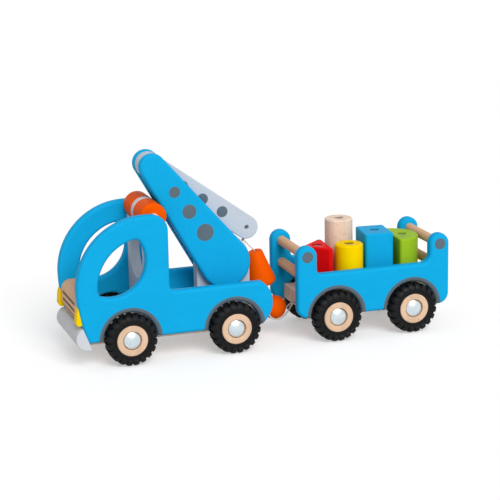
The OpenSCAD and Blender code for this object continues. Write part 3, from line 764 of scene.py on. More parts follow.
class CRANE_OT_stage(bpy.types.Operator):
    """Set up the camera, the light and the pale floor"""

    bl_idname = "crane.stage"
    bl_label = "Stage"

    SENSOR_W = 36
    LAMP_TOWARD = (-0.05, 0.78, -0.62)
    LAMP_SPREAD = 35
    # The floor's measures, in metres
    FLOOR_HALF = 8
    FLOOR_Z = -0.0003
    FLOOR_GREYS = ((0.73, 0.73, 0.73, 1), (0.75, 0.75, 0.75, 1))
    FLOOR_GLOSS = 0.1
    FLOOR_GLOW = 0.38
    WHITE = (1, 1, 1, 1)

    def execute(self, context):
        stage = settings()[2]
        scene = context.scene
        scene.view_settings.view_transform = "Standard"
        self.camera(scene, stage)
        self.light(scene, stage)
        self.floor()
        return {"FINISHED"}

    def camera(self, scene, stage):
        flat = math.cos(stage.pitch)
        forward = Vector((math.sin(stage.yaw) * flat, math.cos(stage.yaw) * flat, -math.sin(stage.pitch)))
        level = Vector((math.cos(stage.yaw), -math.sin(stage.yaw), 0))
        rise = level.cross(forward)
        right = level * math.cos(stage.roll) + rise * math.sin(stage.roll)
        up = rise * math.cos(stage.roll) - level * math.sin(stage.roll)
        lens = bpy.data.cameras.new("camera")
        lens.sensor_fit = "HORIZONTAL"
        lens.sensor_width = self.SENSOR_W
        lens.lens = stage.lens
        camera = new_object("camera", lens)
        turn = Matrix((right, up, -forward)).transposed().to_4x4()
        camera.matrix_world = Matrix.Translation(stage.camera_at) @ turn
        scene.camera = camera

    def shown(self, nodes):
        """1 for rays that show the background: from the camera, off gloss and through glass."""
        path = nodes.add("ShaderNodeLightPath").outputs
        return nodes.most([path[f"Is {kind} Ray"] for kind in ("Camera", "Glossy", "Transmission")])

    def light(self, scene, stage):
        world = bpy.data.worlds.new("studio")
        world.use_nodes = True
        nodes = Nodes(world.node_tree)
        background = world.node_tree.nodes["Background"]
        nodes.join(self.WHITE, background.inputs["Color"])
        strength = nodes.ramp(self.shown(nodes), 0.0, 1.0, stage.sky, 1.0)
        nodes.join(strength, background.inputs["Strength"])
        scene.world = world
        lamp = bpy.data.lights.new("key_lamp", "SUN")
        lamp.energy = stage.lamp
        lamp.angle = math.radians(self.LAMP_SPREAD)
        key = new_object("key_lamp", lamp)
        key.rotation_euler = Vector(self.LAMP_TOWARD).to_track_quat("-Z", "Y").to_euler()

    def floor(self):
        half = self.FLOOR_HALF
        corners = [(x, y, self.FLOOR_Z) for x, y in rectangle(-half, -half, half, half)]
        mesh = bpy.data.meshes.new("floor")
        mesh.from_pydata(corners, [], [range(len(corners))])
        floor = new_object("floor", mesh)
        finish = Finish("pale_floor")
        mottle = finish.noise((3, 3, 3), 2.0, 0.5)
        finish.surface({
            "Base Color": finish.mix(finish.ramp(mottle, 0.3, 0.7), *self.FLOOR_GREYS),
            "Roughness": 0.9,
            "Specular IOR Level": self.FLOOR_GLOSS,
            "Emission Color": self.WHITE,
            "Emission Strength": finish.calc("MULTIPLY", self.shown(finish), self.FLOOR_GLOW),
        })
        mesh.materials.append(finish.material)


class CRANE_OT_strings(bpy.types.Operator):
    """Twist the tow string, the hook string and its knot"""

    bl_idname = "crane.strings"
    bl_label = "Strings"

    KNOT_R = 1.0
    KNOT_TURNS = 5
    KNOT_STEPS = 60
    # Degrees below and above its middle between which the knot is wound
    KNOT_LIFT = 60

    def execute(self, context):
        colours, sizes, _ = settings()
        cotton = twisted_cotton("twisted_cotton", colours.string)
        tow_d = 1.6
        hook_d = 1.2
        tow = rope("tow_loop", TOW_ROUTE, tow_d, sizes.strand_pitch)
        fit_out(tow, "tow_string", cotton)
        hook = rope("hook_line", HOOK_ROUTE, hook_d, sizes.strand_pitch)
        fit_out(hook, "hook_string", cotton)
        knot = rope("string_knot_wound", self.knot_route(), hook_d, sizes.strand_pitch, 8)
        fit_out(knot, "string_knot", cotton)
        return {"FINISHED"}

    def knot_route(self):
        """A small round knot: the string wound over itself, from low on a ball to high on it."""
        low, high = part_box("string_knot")
        middle = (Vector(low) + Vector(high)) / 2 * 1000
        route = []
        for i in range(self.KNOT_STEPS + 1):
            a = 2 * math.pi * self.KNOT_TURNS * i / self.KNOT_STEPS
            lift = math.radians(self.KNOT_LIFT * (2 * i / self.KNOT_STEPS - 1))
            r = self.KNOT_R * math.cos(lift)
            route.append((middle.x - FRONT_AXLE * 1000 + r * math.cos(a), middle.y + r * math.sin(a),
                          middle.z + self.KNOT_R * math.sin(lift)))
        return route


class CRANE_OT_side_panels(bpy.types.Operator):
    """Saw the truck's two side panels, with their windows and printed arches"""

    bl_idname = "crane.side_panels"
    bl_label = "Truck side panels"

    def execute(self, context):
        colours, sizes, _ = settings()
        bands = arch_bands(TRUCK_AXLES)
        paint = painted("truck_blue", colours.blue, "X", bands, colours.printed, OUTER_HALF - PRINT_WRAP)
        outlines = [truck_outline(), window_outline()]
        fit_side_pair("truck_panel", "side_panel", outlines, INNER_HALF, OUTER_HALF, sizes.board_round, paint)
        return {"FINISHED"}


class CRANE_OT_chassis(bpy.types.Operator):
    """Cut the base board and the grille block"""

    bl_idname = "crane.chassis"
    bl_label = "Base board and grille"

    BASE_LOW = 20.5
    BASE_REAR = 131.0
    GRILLE_FRONT = -49.0
    GRILLE_REAR = -27.0
    GRILLE_TOP = 70.0
    GRILLE_ROUND = 9.0
    STRIPE_COUNT = 4
    STRIPE_TOP = 59.8
    STRIPE_PITCH = 6.7
    STRIPE_H = 3.0
    STRIPE_REAR = -40.0
    STRIPE_MARGIN = 7

    def execute(self, context):
        colours, sizes, _ = settings()
        self.base(colours, sizes)
        self.grille(colours, sizes)
        return {"FINISHED"}

    def base(self, colours, sizes):
        outline = [(seat_x(self.BASE_LOW), self.BASE_LOW), (self.BASE_REAR, self.BASE_LOW),
                   (self.BASE_REAR, BASE_TOP), (seat_x(BASE_TOP), BASE_TOP)]
        base = side_board("base_plank", [outline], -INNER_HALF, INNER_HALF, sizes.fine_round)
        plank = shared_material("beech_along", bare_wood, colours.wood, "X")
        fit_out(base, "base_board", plank)

    def grille(self, colours, sizes):
        front, top, edge = self.GRILLE_FRONT, self.GRILLE_TOP, self.GRILLE_ROUND
        cut_z = BASE_TOP + (seat_x(BASE_TOP) - front) / math.tan(math.radians(BUMPER_LEAN))
        outline = [(seat_x(BASE_TOP), BASE_TOP), (self.GRILLE_REAR, BASE_TOP), (self.GRILLE_REAR, top)]
        outline += arc((front + edge, top - edge), edge, 90, 180, 5) + [(front, cut_z)]
        grille = side_board("grille", [outline], -INNER_HALF, INNER_HALF, sizes.fine_round)
        levels = [self.STRIPE_TOP - self.STRIPE_PITCH * i for i in range(self.STRIPE_COUNT)]
        # The grille's wood takes the rail wood, which holds painted shade.
        stripes = striped_wood("beech_with_stripes", colours.rail_wood_with_shade, colours.stripe, levels, self.STRIPE_H,
                               self.STRIPE_REAR, INNER_HALF - self.STRIPE_MARGIN)
        fit_out(grille, "grille_block", stripes)


class CRANE_OT_cab_fittings(bpy.types.Operator):
    """Make the rear wall, the headlamps and the bumper"""

    bl_idname = "crane.cab_fittings"
    bl_label = "Cab fittings"

    WALL_FRONT = 18.5
    WALL_REAR = 28.5
    WALL_TOP = 129.5
    WALL_WINDOW_Z = 97.0
    WALL_WINDOW_R = 23.0
    LAMP_R = 13.5
    LAMP_DEPTH = 3.2
    LAMP_HALF_W = 5.0
    LAMP_GAP = 3.5
    # The headlamps' edges, as a share of the fine edge
    LAMP_ROUND = 0.7
    FOOT_R = 3.0
    FOOT_DEPTH = 5.2
    FOOT_TURN = 14

    def execute(self, context):
        colours, sizes, _ = settings()
        self.rear_wall(colours, sizes)
        self.lamps(colours, sizes)
        self.bumper(colours, sizes)
        return {"FINISHED"}

    def rear_wall(self, colours, sizes):
        window = circle_outline((0, self.WALL_WINDOW_Z), self.WALL_WINDOW_R)
        outlines = [rectangle(-INNER_HALF, BASE_TOP, INNER_HALF, self.WALL_TOP), window]
        drawn = [[(y / 1000, z / 1000) for y, z in outline] for outline in outlines]
        front, rear = [at(x, 0, 0).x for x in (self.WALL_FRONT, self.WALL_REAR)]
        wall = board("rear_wall", drawn, front, rear, sizes.fine_round, ACROSS)
        grey = shared_material("grey_upright", painted, colours.grey, "Z")
        fit_out(wall, "cab_rear_wall", grey)

    def lamps(self, colours, sizes):
        """Part of a disc on the front edge of each panel, whose lower end is a smaller round."""
        r, depth = self.LAMP_R, self.LAMP_DEPTH
        half_height = math.sqrt(r * r - (r - depth) ** 2)
        lean = BUMPER_LEAN - math.degrees((BUMPER_R + half_height + self.LAMP_GAP) / FRONT_R)
        place, out = front_seat(lean), 180 + lean
        spread = math.degrees(math.acos((r - depth) / r))
        foot = polar(place, -half_height, 90 + lean)
        outline = arc(polar(place, depth - r, out), r, out - spread, out - spread / 2, 4)
        ball = polar(polar(foot, self.FOOT_R, 90 + lean), self.FOOT_DEPTH - self.FOOT_R, out)
        outline += arc(ball, self.FOOT_R, out - self.FOOT_TURN, out + 90, 10)
        outline.append(foot)
        pieces = []
        for side in (-1, 1):
            middle = side * (INNER_HALF + OUTER_HALF) / 2
            pieces.append(side_board("headlamp", [outline], middle - self.LAMP_HALF_W,
                                     middle + self.LAMP_HALF_W, sizes.fine_round * self.LAMP_ROUND))
        lamps = weighted(settle(joined("headlamp_pair", pieces)))
        fit_out(lamps, "headlamps", painted("yellow", colours.yellow, "Y"))

    def bumper(self, colours, sizes):
        out = 180 + BUMPER_LEAN
        outline = arc(front_seat(BUMPER_LEAN), BUMPER_R, out - 90, out + 90)
        bar = side_board("bumper_bar", [outline], -OUTER_HALF, OUTER_HALF, sizes.fine_round)
        fit_out(bar, "bumper", shared_material("bumper_grey", painted, colours.bumper, "Y"))


class CRANE_OT_light_bar(bpy.types.Operator):
    """Turn the two drums and the ring of the light bar"""

    bl_idname = "crane.light_bar"
    bl_label = "Light bar"

    CORE_R = 4.0
    DRUM_ROUND = 2.5
    RING_HALF = 3.5
    RING_EDGE = 0.5

    def execute(self, context):
        colours = settings()[0]
        half = self.RING_HALF
        pair = settle(joined("light_drum_pair", [self.drum(side) for side in (-1, 1)]))
        fit_out(pair, "light_drums", painted("orange", colours.orange, "Y"))
        rim, shoulder = LIGHT_R - self.RING_EDGE, half - self.RING_EDGE
        profile = [(self.CORE_R, -half), (rim, -half), (LIGHT_R, -shoulder)]
        profile += [(LIGHT_R, shoulder), (rim, half), (self.CORE_R, half)]
        ring = turned("light_band", profile, (LIGHT_AT[0], 0, LIGHT_AT[1]), Y_AXIS)
        grey = shared_material("bumper_grey", painted, colours.bumper, "Y")
        fit_out(ring, "light_ring", grey)
        finish_node("light_dowel", shared_material("beech_across", bare_wood, colours.wood, "Y"))
        return {"FINISHED"}

    def drum(self, side):
        length, edge = INNER_HALF - self.RING_HALF, self.DRUM_ROUND
        profile = [(self.CORE_R, 0)] + arc((LIGHT_R - edge, edge), edge, -90, 0, 10)
        profile += arc((LIGHT_R - edge, length - edge), edge, 0, 90, 10) + [(self.CORE_R, length)]
        return turned("drum", profile, (LIGHT_AT[0], side * self.RING_HALF, LIGHT_AT[1]), (0, side, 0))


class CRANE_OT_boom(bpy.types.Operator):
    """Saw the pedestal, the two boom arms and the jib, with their printed dots"""

    bl_idname = "crane.boom"
    bl_label = "Pedestal, boom and jib"

    PEDESTAL_R = 27.0
    FOOT_R = 25.0
    HEAD_R = 12.8
    JIB_FOOT_R = 12.0
    JIB_TIP_R = 11.5
    JIB_HOLE_R = 2.0
    # Reach along the bar and radius of each printed dot
    BOOM_DOTS = ((38.5, 8.5), (65, 7), (89.5, 5.5))
    BOOM_DOTS_ASIDE = 2
    JIB_DOTS = ((38.5, 5.5), (62.5, 5.5), (86.5, 5.5))
    JIB_PRINT_WRAP = 1.2

    def execute(self, context):
        colours, sizes, _ = settings()
        self.pedestal(colours, sizes)
        self.arms(colours, sizes)
        self.jib(colours, sizes)
        for node in ("boom_pin", "jib_pin"):
            finish_node(node, shared_material("beech_across", bare_wood, colours.wood, "Y"))
        return {"FINISHED"}

    def pedestal(self, colours, sizes):
        r = self.PEDESTAL_R
        outline = [(BOOM_FOOT[0] - r, BASE_TOP), (BOOM_FOOT[0] + r, BASE_TOP)] + arc(BOOM_FOOT, r, 0, 180)
        plate = side_board("pedestal_plate", [outline], -PLATE_HALF, PLATE_HALF, sizes.fine_round)
        grey = shared_material("grey_upright", painted, colours.grey, "Z")
        fit_out(plate, "crane_pedestal", grey)

    def arms(self, colours, sizes):
        up = 90 + BOOM_LEAN
        start = polar(BOOM_FOOT, self.BOOM_DOTS_ASIDE, BOOM_LEAN)
        dots = [(polar(start, reach, up), r) for reach, r in self.BOOM_DOTS]
        blue = painted("boom_blue", colours.blue, "Z", dots, colours.printed, ARM_OUT - PRINT_WRAP)
        outline = tapered_outline(BOOM_FOOT, self.FOOT_R, self.HEAD_R, BOOM_LENGTH, up)
        fit_side_pair("boom", "boom_arm", [outline], ARM_IN, ARM_OUT, sizes.board_round, blue)

    def jib(self, colours, sizes):
        dots = [(polar(BOOM_HEAD, reach, -JIB_DROOP), r) for reach, r in self.JIB_DOTS]
        shown_from = PLATE_HALF - self.JIB_PRINT_WRAP
        grey = painted("jib_grey", colours.grey, "X", dots, colours.printed, shown_from)
        outline = tapered_outline(BOOM_HEAD, self.JIB_FOOT_R, self.JIB_TIP_R, JIB_LENGTH, -JIB_DROOP)
        hole = circle_outline(JIB_TIP, self.JIB_HOLE_R)
        jib = side_board("jib_plate", [outline, hole], -PLATE_HALF, PLATE_HALF, sizes.fine_round)
        fit_out(jib, "jib", grey)


class CRANE_OT_hook(bpy.types.Operator):
    """Turn the hook weight with the magnet in its base, and the hitch knob"""

    bl_idname = "crane.hook"
    bl_label = "Hook and hitch knob"

    BASE_ROUND = 4.0
    TOP_EDGE = 0.8
    BORE_R = 1.5
    BORE_DEPTH = 4.0
    BORE_EDGE = 0.3
    MAGNET_R = 5.0
    MAGNET_T = 4.0
    MAGNET_EDGE = 0.4
    BALL_R = 11.8
    NECK_R = 4.5
    NECK_REACH = 40.7

    def execute(self, context):
        colours = settings()[0]
        orange = painted("orange_turned", colours.orange, "Z")
        # The hook hangs tilted by its own slope, so that one of its sides is upright
        tilt = math.radians(HOOK_SLOPE)
        down = (math.sin(tilt), 0, -math.cos(tilt))
        middle = (HOOK_TOP[0], 0, HOOK_TOP[1])
        cone = turned("hook_cone", self.cone_profile(), middle, down)
        fit_out(cone, "hook_weight", orange)
        steel = shared_material("dark_steel", plated_steel, colours.disc)
        magnet = turned("hook_magnet_disc", self.magnet_profile(), middle, down)
        fit_out(magnet, "hook_magnet", steel)
        ball = turned("hitch_ball", self.knob_profile(), (KNOB_AT[0], 0, KNOB_AT[1]), X_AXIS)
        fit_out(ball, "hitch_knob", orange)
        return {"FINISHED"}

    def cone_profile(self):
        """From the floor of the string's bore, over the top and down to the magnet's seat."""
        edge, bore, seat = self.BASE_ROUND, self.BORE_R, HOOK_HEIGHT - self.MAGNET_T
        slope = math.radians(HOOK_SLOPE)
        rim = HOOK_BASE_R - edge / math.cos(slope) - edge * math.tan(slope)
        profile = [(0, self.BORE_DEPTH), (bore, self.BORE_DEPTH), (bore, self.BORE_EDGE)]
        profile += [(bore + self.BORE_EDGE, 0), (HOOK_TOP_R - self.TOP_EDGE, 0), (HOOK_TOP_R, self.TOP_EDGE)]
        profile += arc((rim, HOOK_HEIGHT - edge), edge, -HOOK_SLOPE, 90, 6)
        profile += [(self.MAGNET_R, HOOK_HEIGHT), (self.MAGNET_R, seat), (0, seat)]
        return profile

    def magnet_profile(self):
        r, edge, seat = self.MAGNET_R, self.MAGNET_EDGE, HOOK_HEIGHT - self.MAGNET_T
        return [(0, seat), (r, seat), (r, HOOK_HEIGHT - edge), (r - edge, HOOK_HEIGHT), (0, HOOK_HEIGHT)]

    def knob_profile(self):
        start = math.degrees(math.asin(self.NECK_R / self.BALL_R))
        profile = [(0, -self.NECK_REACH), (self.NECK_R, -self.NECK_REACH)]
        profile += [(r, h) for h, r in arc((0, 0), self.BALL_R, 180 - start, 0, 4)]
        return profile


def shoulder_point(angle, lower=0.0, inward=0.0):
    """(y, r) on the tyre's round shoulder, or on a curve that runs below and inside it."""
    a = math.radians(angle)
    return (TYRE_HALF - TYRE_SHOULDER + (TYRE_SHOULDER - inward) * math.cos(a),
            TYRE_R - TYRE_SHOULDER + (TYRE_SHOULDER - lower) * math.sin(a))


def lug_mesh(height, count):
    """One tyre lug on the +Y half of a wheel that turns about Y at the origin, in metres."""
    sink = 0.4
    middle_gap = 0.5
    groove_w = 2.7
    end_ease = 0.15
    wall_reach = 1.4
    end_r = TYRE_R - TYRE_SHOULDER - wall_reach
    lower, inward = height * 1000 + sink, LUG_FLANK + sink
    angles = (90, 72, 54, 36, 18, 0)
    crown = [(middle_gap, TYRE_R)] + [shoulder_point(a) for a in angles]
    crown.append((TYRE_HALF - LUG_FLANK, end_r))
    sole = [(middle_gap, TYRE_R - lower)] + [shoulder_point(a, lower, inward) for a in angles]
    sole.append((TYRE_HALF - inward, end_r))
    half = (360 / count - math.degrees(groove_w / TYRE_R)) / 2
    form = bmesh.new()
    sheets = []
    for a in (-half, -half / 2, 0, half / 2, half):
        turn = Matrix.Rotation(math.radians(a), 3, "Y")
        ease = end_ease if abs(a) == half else 0
        eased = [Vector((0, *c)).lerp(Vector((0, *s)), ease) for c, s in zip(crown, sole)]
        top = [form.verts.new(turn @ point / 1000) for point in eased]
        foot = [form.verts.new(turn @ Vector((0, *s)) / 1000) for s in sole]
        sheets.append((top, foot))
    for (top, foot), (next_top, next_foot) in zip(sheets, sheets[1:]):
        for i in range(len(crown) - 1):
            form.faces.new((top[i], top[i + 1], next_top[i + 1], next_top[i]))
            form.faces.new((foot[i], next_foot[i], next_foot[i + 1], foot[i + 1]))
        form.faces.new((top[0], next_top[0], next_foot[0], foot[0]))
        form.faces.new((top[-1], foot[-1], next_foot[-1], next_top[-1]))
    for top, foot in (sheets[0], sheets[-1]):
        for i in range(len(crown) - 1):
            form.faces.new((top[i], foot[i], foot[i + 1], top[i + 1]))
    return mesh_from(form, "lug")


def lug_tree():
    """Node tree that sets two staggered rows of lugs on a tyre and moves the tyre to its axle."""
    tree = bpy.data.node_groups.new("tyre_lugs", "GeometryNodeTree")
    inputs = {"Tyre": "Geometry", "Lug": "Object", "Lugs": "Int", "Axle": "Vector", "Rubber": "Material"}
    for name, kind in inputs.items():
        tree.interface.new_socket(name, in_out="INPUT", socket_type="NodeSocket" + kind)
    tree.interface.new_socket("Tyre", in_out="OUTPUT", socket_type="NodeSocketGeometry")
    nodes = Nodes(tree)
    given = nodes.add("NodeGroupInput").outputs
    lug = nodes.add("GeometryNodeObjectInfo", {"Object": given["Lug"]}).outputs["Geometry"]
    points = nodes.add("GeometryNodePoints", {"Count": given["Lugs"]}).outputs[0]
    number = nodes.add("GeometryNodeInputIndex").outputs[0]
    pitch = nodes.calc("DIVIDE", 2 * math.pi, given["Lugs"])
    together = nodes.add("GeometryNodeJoinGeometry", {0: given["Tyre"]})
    for flip, stagger in ((0.0, 0.0), (math.pi, 0.5)):
        angle = nodes.calc("MULTIPLY", nodes.calc("ADD", number, stagger), pitch)
        turn = nodes.add("ShaderNodeCombineXYZ", {"X": flip, "Y": angle}).outputs[0]
        row = nodes.add("GeometryNodeInstanceOnPoints", {"Points": points, "Instance": lug, "Rotation": turn})
        nodes.join(row.outputs[0], together.inputs[0])
    solid = nodes.add("GeometryNodeRealizeInstances", {0: together.outputs[0]}).outputs[0]
    moved = nodes.add("GeometryNodeTransform", {"Geometry": solid, "Translation": given["Axle"]}).outputs[0]
    coated = nodes.add("GeometryNodeSetMaterial", {"Geometry": moved, "Material": given["Rubber"]}).outputs[0]
    nodes.add("NodeGroupOutput", {0: coated})
    return tree


def set_inputs(modifier, tree, values):
    """Set a modifier's inputs by the identifiers of the tree's named sockets."""
    for item in tree.interface.items_tree:
        if item.in_out == "INPUT" and item.name in values:
            modifier[item.identifier] = values[item.name]


class CRANE_OT_wheels(bpy.types.Operator):
    """Mould the tyres, and turn the hubs, caps and axles of truck and trailer"""

    bl_idname = "crane.wheels"
    bl_label = "Wheels"

    HUB_LOW = INNER_HALF + 1.5
    HUB_W = 15.4
    HUB_R = 15.0
    HUB_ROUND = 1.2
    HUB_BORE_R = 2.55
    RECESS = 3.0
    RECESS_R = 9.1
    RECESS_EDGE = 0.4
    ROD_R = 2.5
    ROD_HALF = 47.9
    CAP_R = 8.3
    CAP_RIM = 1.4
    CAP_DOME = 2.6
    CAP_EDGE = 0.3
    CAP_GAP = 0.3
    # Radius and depth of each corner on a tyre's wall, from the shoulder to the hub
    WALL_CORNERS = ((18.2, 0), (17.9, 0.5), (16.9, 0.5), (16.6, 0), (15.4, 0), (HUB_R, 0.4))

    def execute(self, context):
        colours, sizes, _ = settings()
        rubber = tyre_rubber("tyre_rubber", colours.rubber)
        wood = bare_wood("beech_hub", colours.hub_wood, "Z")
        steel = plated_steel("plated_steel", colours.steel)
        tree = lug_tree()
        lug = new_object("lug", lug_mesh(sizes.lug_height, sizes.lug_count))
        for lead, axles in (("", TRUCK_AXLES), ("trailer_", TRAILER_AXLES)):
            for end, x in zip(("front", "rear"), axles):
                for name, side in (("near", -1), ("far", 1)):
                    spot = f"{end}_{name}"
                    self.tyre(f"{lead}tyre_{spot}", x, side, tree, lug, sizes, rubber)
                    hub = self.hub(f"{lead}wooden_hub_{spot}", x, side)
                    fit_out(hub, f"{lead}hub_{spot}", wood)
            owner = lead or "truck_"
            caps = [self.cap(x, side) for x in axles for side in (-1, 1)]
            fit_out(settle(joined(f"{owner}cap_set", caps)), f"{owner}axle_caps", steel)
            rods = [round_bar("rod", x, AXLE_Z, self.ROD_R, self.ROD_HALF, 48) for x in axles]
            fit_out(settle(joined(f"{owner}rod_pair", rods)), f"{owner}axles", steel)
        bpy.data.objects.remove(lug)
        return {"FINISHED"}

    def tyre(self, node, x, side, tree, lug, sizes, rubber):
        outer = []
        for angle in (90, 60, 30, 0):
            y, r = shoulder_point(angle, sizes.lug_height * 1000, LUG_FLANK)
            outer.append((r, y))
        outer += [(r, TYRE_HALF - LUG_FLANK - depth) for r, depth in self.WALL_CORNERS]
        profile = [(r, -y) for r, y in reversed(outer)] + outer
        carcass = turned("carcass", profile, (0, 0, 0), Y_AXIS, 72)
        carcass.data.transform(Matrix.Translation(-at(0, 0, 0)))
        drawn = new_object("rubber_" + node, carcass.data)
        bpy.data.objects.remove(carcass)
        rows = drawn.modifiers.new("lugs", "NODES")
        rows.node_group = tree
        axle = at(x, side * (self.HUB_LOW + self.HUB_W / 2), AXLE_Z)
        set_inputs(rows, tree, {"Lug": lug, "Lugs": sizes.lug_count, "Axle": axle, "Rubber": rubber})
        fit_out(settle(drawn), node, rubber)

    def hub(self, name, x, side):
        edge, bore, floor = self.HUB_ROUND, self.HUB_BORE_R, self.HUB_W - self.RECESS
        rim = self.HUB_R - edge
        profile = [(bore, 0), (rim, 0)] + arc((rim, edge), edge, -90, 0, 15)
        profile += arc((rim, self.HUB_W - edge), edge, 0, 90, 15)
        profile.append((self.RECESS_R + self.RECESS_EDGE, self.HUB_W))
        profile.append((self.RECESS_R, self.HUB_W - self.RECESS_EDGE))
        profile += [(self.RECESS_R, floor), (bore, floor)]
        return turned(name, profile, (x, side * self.HUB_LOW, AXLE_Z), (0, side, 0))

    def cap(self, x, side):
        r, dome, edge = self.CAP_R, self.CAP_DOME, self.CAP_EDGE
        low = self.HUB_W - self.RECESS + self.CAP_GAP
        ball = (r * r + dome * dome) / (2 * dome)
        spread = math.degrees(math.asin(r / ball))
        profile = [(0, low), (r - edge, low), (r, low + edge)]
        profile += [(q, h) for h, q in arc((low + self.CAP_RIM + dome - ball, 0), ball, spread, 0, 4)]
        return turned("cap", profile, (x, side * self.HUB_LOW, AXLE_Z), (0, side, 0), 64)


class CRANE_OT_trailer(bpy.types.Operator):
    """Saw the trailer's panels and floor, and turn its rails"""

    bl_idname = "crane.trailer"
    bl_label = "Trailer"

    RAIL_INSET = 10.25
    RAIL_PRINT_R = 5.65
    TIP_OUT = 0.15
    TIP_PAINT = 0.6
    LOW_RAIL_SUNK = 4
    FLOOR_INSET = 11.5
    FLOOR_LOW = 28
    FLOOR_TOP = 42
    AXLE_BLOCK_HALF = 9
    AXLE_BLOCK_LOW = 18

    def execute(self, context):
        colours, sizes, _ = settings()
        rail_x = (TRAILER_FRONT + self.RAIL_INSET, TRAILER_REAR - self.RAIL_INSET)
        prints = arch_bands(TRAILER_AXLES) + [((x, TOP_RAIL_Z), self.RAIL_PRINT_R) for x in rail_x]
        paint = painted("trailer_blue", colours.blue, "X", prints, colours.printed, OUTER_HALF - PRINT_WRAP)
        fit_side_pair("trailer_board", "trailer_panel", [trailer_outline()], INNER_HALF, OUTER_HALF,
                      sizes.board_round, paint)
        self.floor(colours, sizes)
        ends = OUTER_HALF - self.TIP_PAINT
        # The rails' wood holds painted shade: it is a darker copy of the bare beech.
        wood = tipped_wood("beech_with_painted_ends", colours.rail_wood_with_shade, colours.printed, ends)
        for node, z, half in (("trailer_top_rails", TOP_RAIL_Z, OUTER_HALF + self.TIP_OUT),
                              ("trailer_low_rails", LOW_RAIL_Z, INNER_HALF + self.LOW_RAIL_SUNK)):
            rails = [round_bar("rail", x, z, RAIL_R, half, 64) for x in rail_x]
            fit_out(settle(joined(node + "_turned", rails)), node, wood)
        return {"FINISHED"}

    def floor(self, colours, sizes):
        plank = shared_material("beech_along", bare_wood, colours.wood, "X")
        outline = rectangle(TRAILER_FRONT + self.FLOOR_INSET, self.FLOOR_LOW,
                            TRAILER_REAR - self.FLOOR_INSET, self.FLOOR_TOP)
        planks = side_board("trailer_plank", [outline], -INNER_HALF, INNER_HALF, sizes.fine_round)
        fit_out(planks, "trailer_floor", plank)
        across = shared_material("beech_across", bare_wood, colours.wood, "Y")
        half = self.AXLE_BLOCK_HALF
        blocks = []
        for x in TRAILER_AXLES:
            outline = rectangle(x - half, self.AXLE_BLOCK_LOW, x + half, self.FLOOR_LOW)
            blocks.append(side_board("axle_block", [outline], -INNER_HALF, INNER_HALF, sizes.fine_round))
        pair = weighted(settle(joined("axle_block_pair", blocks)))
        fit_out(pair, "trailer_axle_blocks", across)


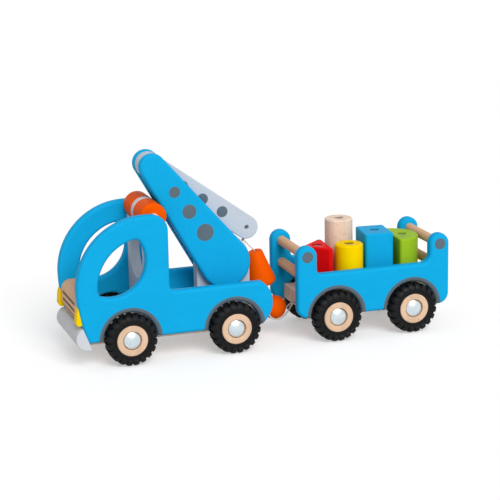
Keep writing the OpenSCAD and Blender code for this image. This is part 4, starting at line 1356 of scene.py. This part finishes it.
class CRANE_OT_blocks(bpy.types.Operator):
    """Shape the five blocks, and set the steel discs in their tops"""

    bl_idname = "crane.blocks"
    bl_label = "Blocks"

    LEG = 36.0
    HALF_R = 26.5
    ROUND_R = 14.0
    ROUND_EDGE = 2.0
    BLUE_HALF_W = 14.5
    BLUE_HALF_D = 19.0
    CORNER_R = 3.0
    TOP_ROUND = 1.6
    HOLE_R = 5.0
    HOLE_DEPTH = 3
    OVERCUT = 1
    DISC_R = 4.98
    DISC_TOP = -1
    DISC_EDGE_R = 4.7
    DISC_EDGE_Z = -1.3
    # How far the half-round block's hole is from its flat side, as a share of its radius
    HALF_HOLE = 0.42

    def execute(self, context):
        colours = settings()[0]
        steel = shared_material("dark_steel", plated_steel, colours.disc)
        outlines = {"red": self.corner_outline(), "blue": self.four_corner_outline(),
                    "green": self.half_round_outline()}
        hole_reach = {"red": self.LEG * (math.sqrt(2) - 1), "green": self.HALF_HOLE * self.HALF_R}
        # Place, turn in degrees, height, finish and slot
        shapes = {
            "red": ((187, -3.5), -4, 46, painted("block_red_paint", colours.red, "Z"), "red_paint"),
            "natural": ((233.5, 17.6), 0, 66, bare_wood("block_beech", colours.wood, "Z"), "bare_wood"),
            "yellow": ((230.5, -17.6), 0, 48, painted("block_yellow_paint", colours.yellow, "Z"),
                       "yellow_paint"),
            "blue": ((264, -2), -6, 55, painted("block_blue_paint", colours.blue, "Z"), "blue_paint"),
            "green": ((283.5, 0), -3, 48, painted("block_green_paint", colours.green, "Z"), "green_paint"),
        }
        for name, (place, turn, height, material, slot) in shapes.items():
            if name in outlines:
                piece = self.prism(name, place, outlines[name], turn, height)
            else:
                piece = self.cylinder(name, place, height)
            top = (*polar(place, hole_reach.get(name, 0), turn), BLOCK_Z + height)
            piece = drilled(piece, top, self.HOLE_R, -self.HOLE_DEPTH, self.OVERCUT)
            fit_out(piece, f"block_{name}", material)
            fit_out(self.disc(name, top), f"disc_{name}", steel)
        return {"FINISHED"}

    def corner_outline(self):
        """Half of a square, with its square corner at the origin and its long side toward +x."""
        touching = self.LEG * (1 - math.sqrt(0.5))
        middle = touching * math.sqrt(2)
        shrink = 1 - self.CORNER_R / touching
        reach = self.LEG * math.sqrt(0.5)
        tips = [(0, 0), (reach, -reach), (reach, reach)]
        return rounded_corners([(middle + shrink * (x - middle), shrink * y) for x, y in tips], self.CORNER_R)

    def four_corner_outline(self):
        wide, deep = self.BLUE_HALF_W - self.CORNER_R, self.BLUE_HALF_D - self.CORNER_R
        return rounded_corners(rectangle(-wide, -deep, wide, deep), self.CORNER_R)

    def half_round_outline(self):
        """Half of a disc, with the middle of its flat side at the origin and its round side toward +x."""
        edge = self.CORNER_R
        reach = math.sqrt((self.HALF_R - edge) ** 2 - edge ** 2)
        lean = bearing((0, 0), (edge, reach))
        points = arc((0, 0), self.HALF_R, -lean, lean)
        points += arc((edge, reach), edge, lean, 180, 10)[1:]
        points += arc((edge, -reach), edge, 180, 360 - lean, 10)[:-1]
        return points

    def prism(self, name, place, outline, turn, height):
        a = math.radians(turn)
        drawn = []
        for u, v in outline:
            x = place[0] + u * math.cos(a) - v * math.sin(a)
            y = place[1] + u * math.sin(a) + v * math.cos(a)
            drawn.append((x / 1000 + FRONT_AXLE, y / 1000))
        low, high = BLOCK_Z / 1000, (BLOCK_Z + height) / 1000
        return board(f"shape_{name}", [drawn], low, high, self.TOP_ROUND / 1000, FLAT)

    def cylinder(self, name, place, height):
        edge = self.ROUND_EDGE
        rim = self.ROUND_R - edge
        profile = [(0, 0)] + arc((rim, edge), edge, -90, 0, 12)
        profile += arc((rim, height - edge), edge, 0, 90, 12) + [(0, height)]
        return turned(f"shape_{name}", profile, (*place, BLOCK_Z), Z_AXIS)

    def disc(self, name, top):
        low = -self.HOLE_DEPTH
        profile = [(0, low), (self.DISC_R, low), (self.DISC_R, self.DISC_EDGE_Z)]
        profile += [(self.DISC_EDGE_R, self.DISC_TOP), (0, self.DISC_TOP)]
        return turned(f"steel_disc_{name}", profile, top, Z_AXIS, 64)


STEPS = (
    CRANE_OT_stage, CRANE_OT_strings, CRANE_OT_side_panels, CRANE_OT_chassis, CRANE_OT_cab_fittings,
    CRANE_OT_light_bar, CRANE_OT_boom, CRANE_OT_hook, CRANE_OT_wheels, CRANE_OT_trailer, CRANE_OT_blocks,
)


class CRANE_PT_sidebar(bpy.types.Panel):
    """Lists the pieces of the crane truck and their settings"""

    bl_idname = "CRANE_PT_sidebar"
    bl_label = "Crane truck"
    bl_space_type = "VIEW_3D"
    bl_region_type = "UI"
    bl_category = "Crane truck"

    def draw(self, context):
        for group in settings():
            box = self.layout.box()
            for name in group.bl_rna.properties.keys():
                if name not in ("rna_type", "name"):
                    box.prop(group, name)
        for step in STEPS:
            self.layout.operator(step.bl_idname)


GROUPS = {"crane_colours": CraneColours, "crane_sizes": CraneSizes, "crane_stage": CraneStage}


def register():
    for name, group in GROUPS.items():
        bpy.utils.register_class(group)
        setattr(bpy.types.Scene, name, bpy.props.PointerProperty(type=group))
    for step in (*STEPS, CRANE_PT_sidebar):
        bpy.utils.register_class(step)


def unregister():
    for step in (*STEPS, CRANE_PT_sidebar):
        bpy.utils.unregister_class(step)
    for name, group in GROUPS.items():
        delattr(bpy.types.Scene, name)
        bpy.utils.unregister_class(group)


def main():
    register()
    for step in STEPS:
        lead, name = step.bl_idname.split(".")
        getattr(getattr(bpy.ops, lead), name)()


if __name__ == "__main__":
    main()
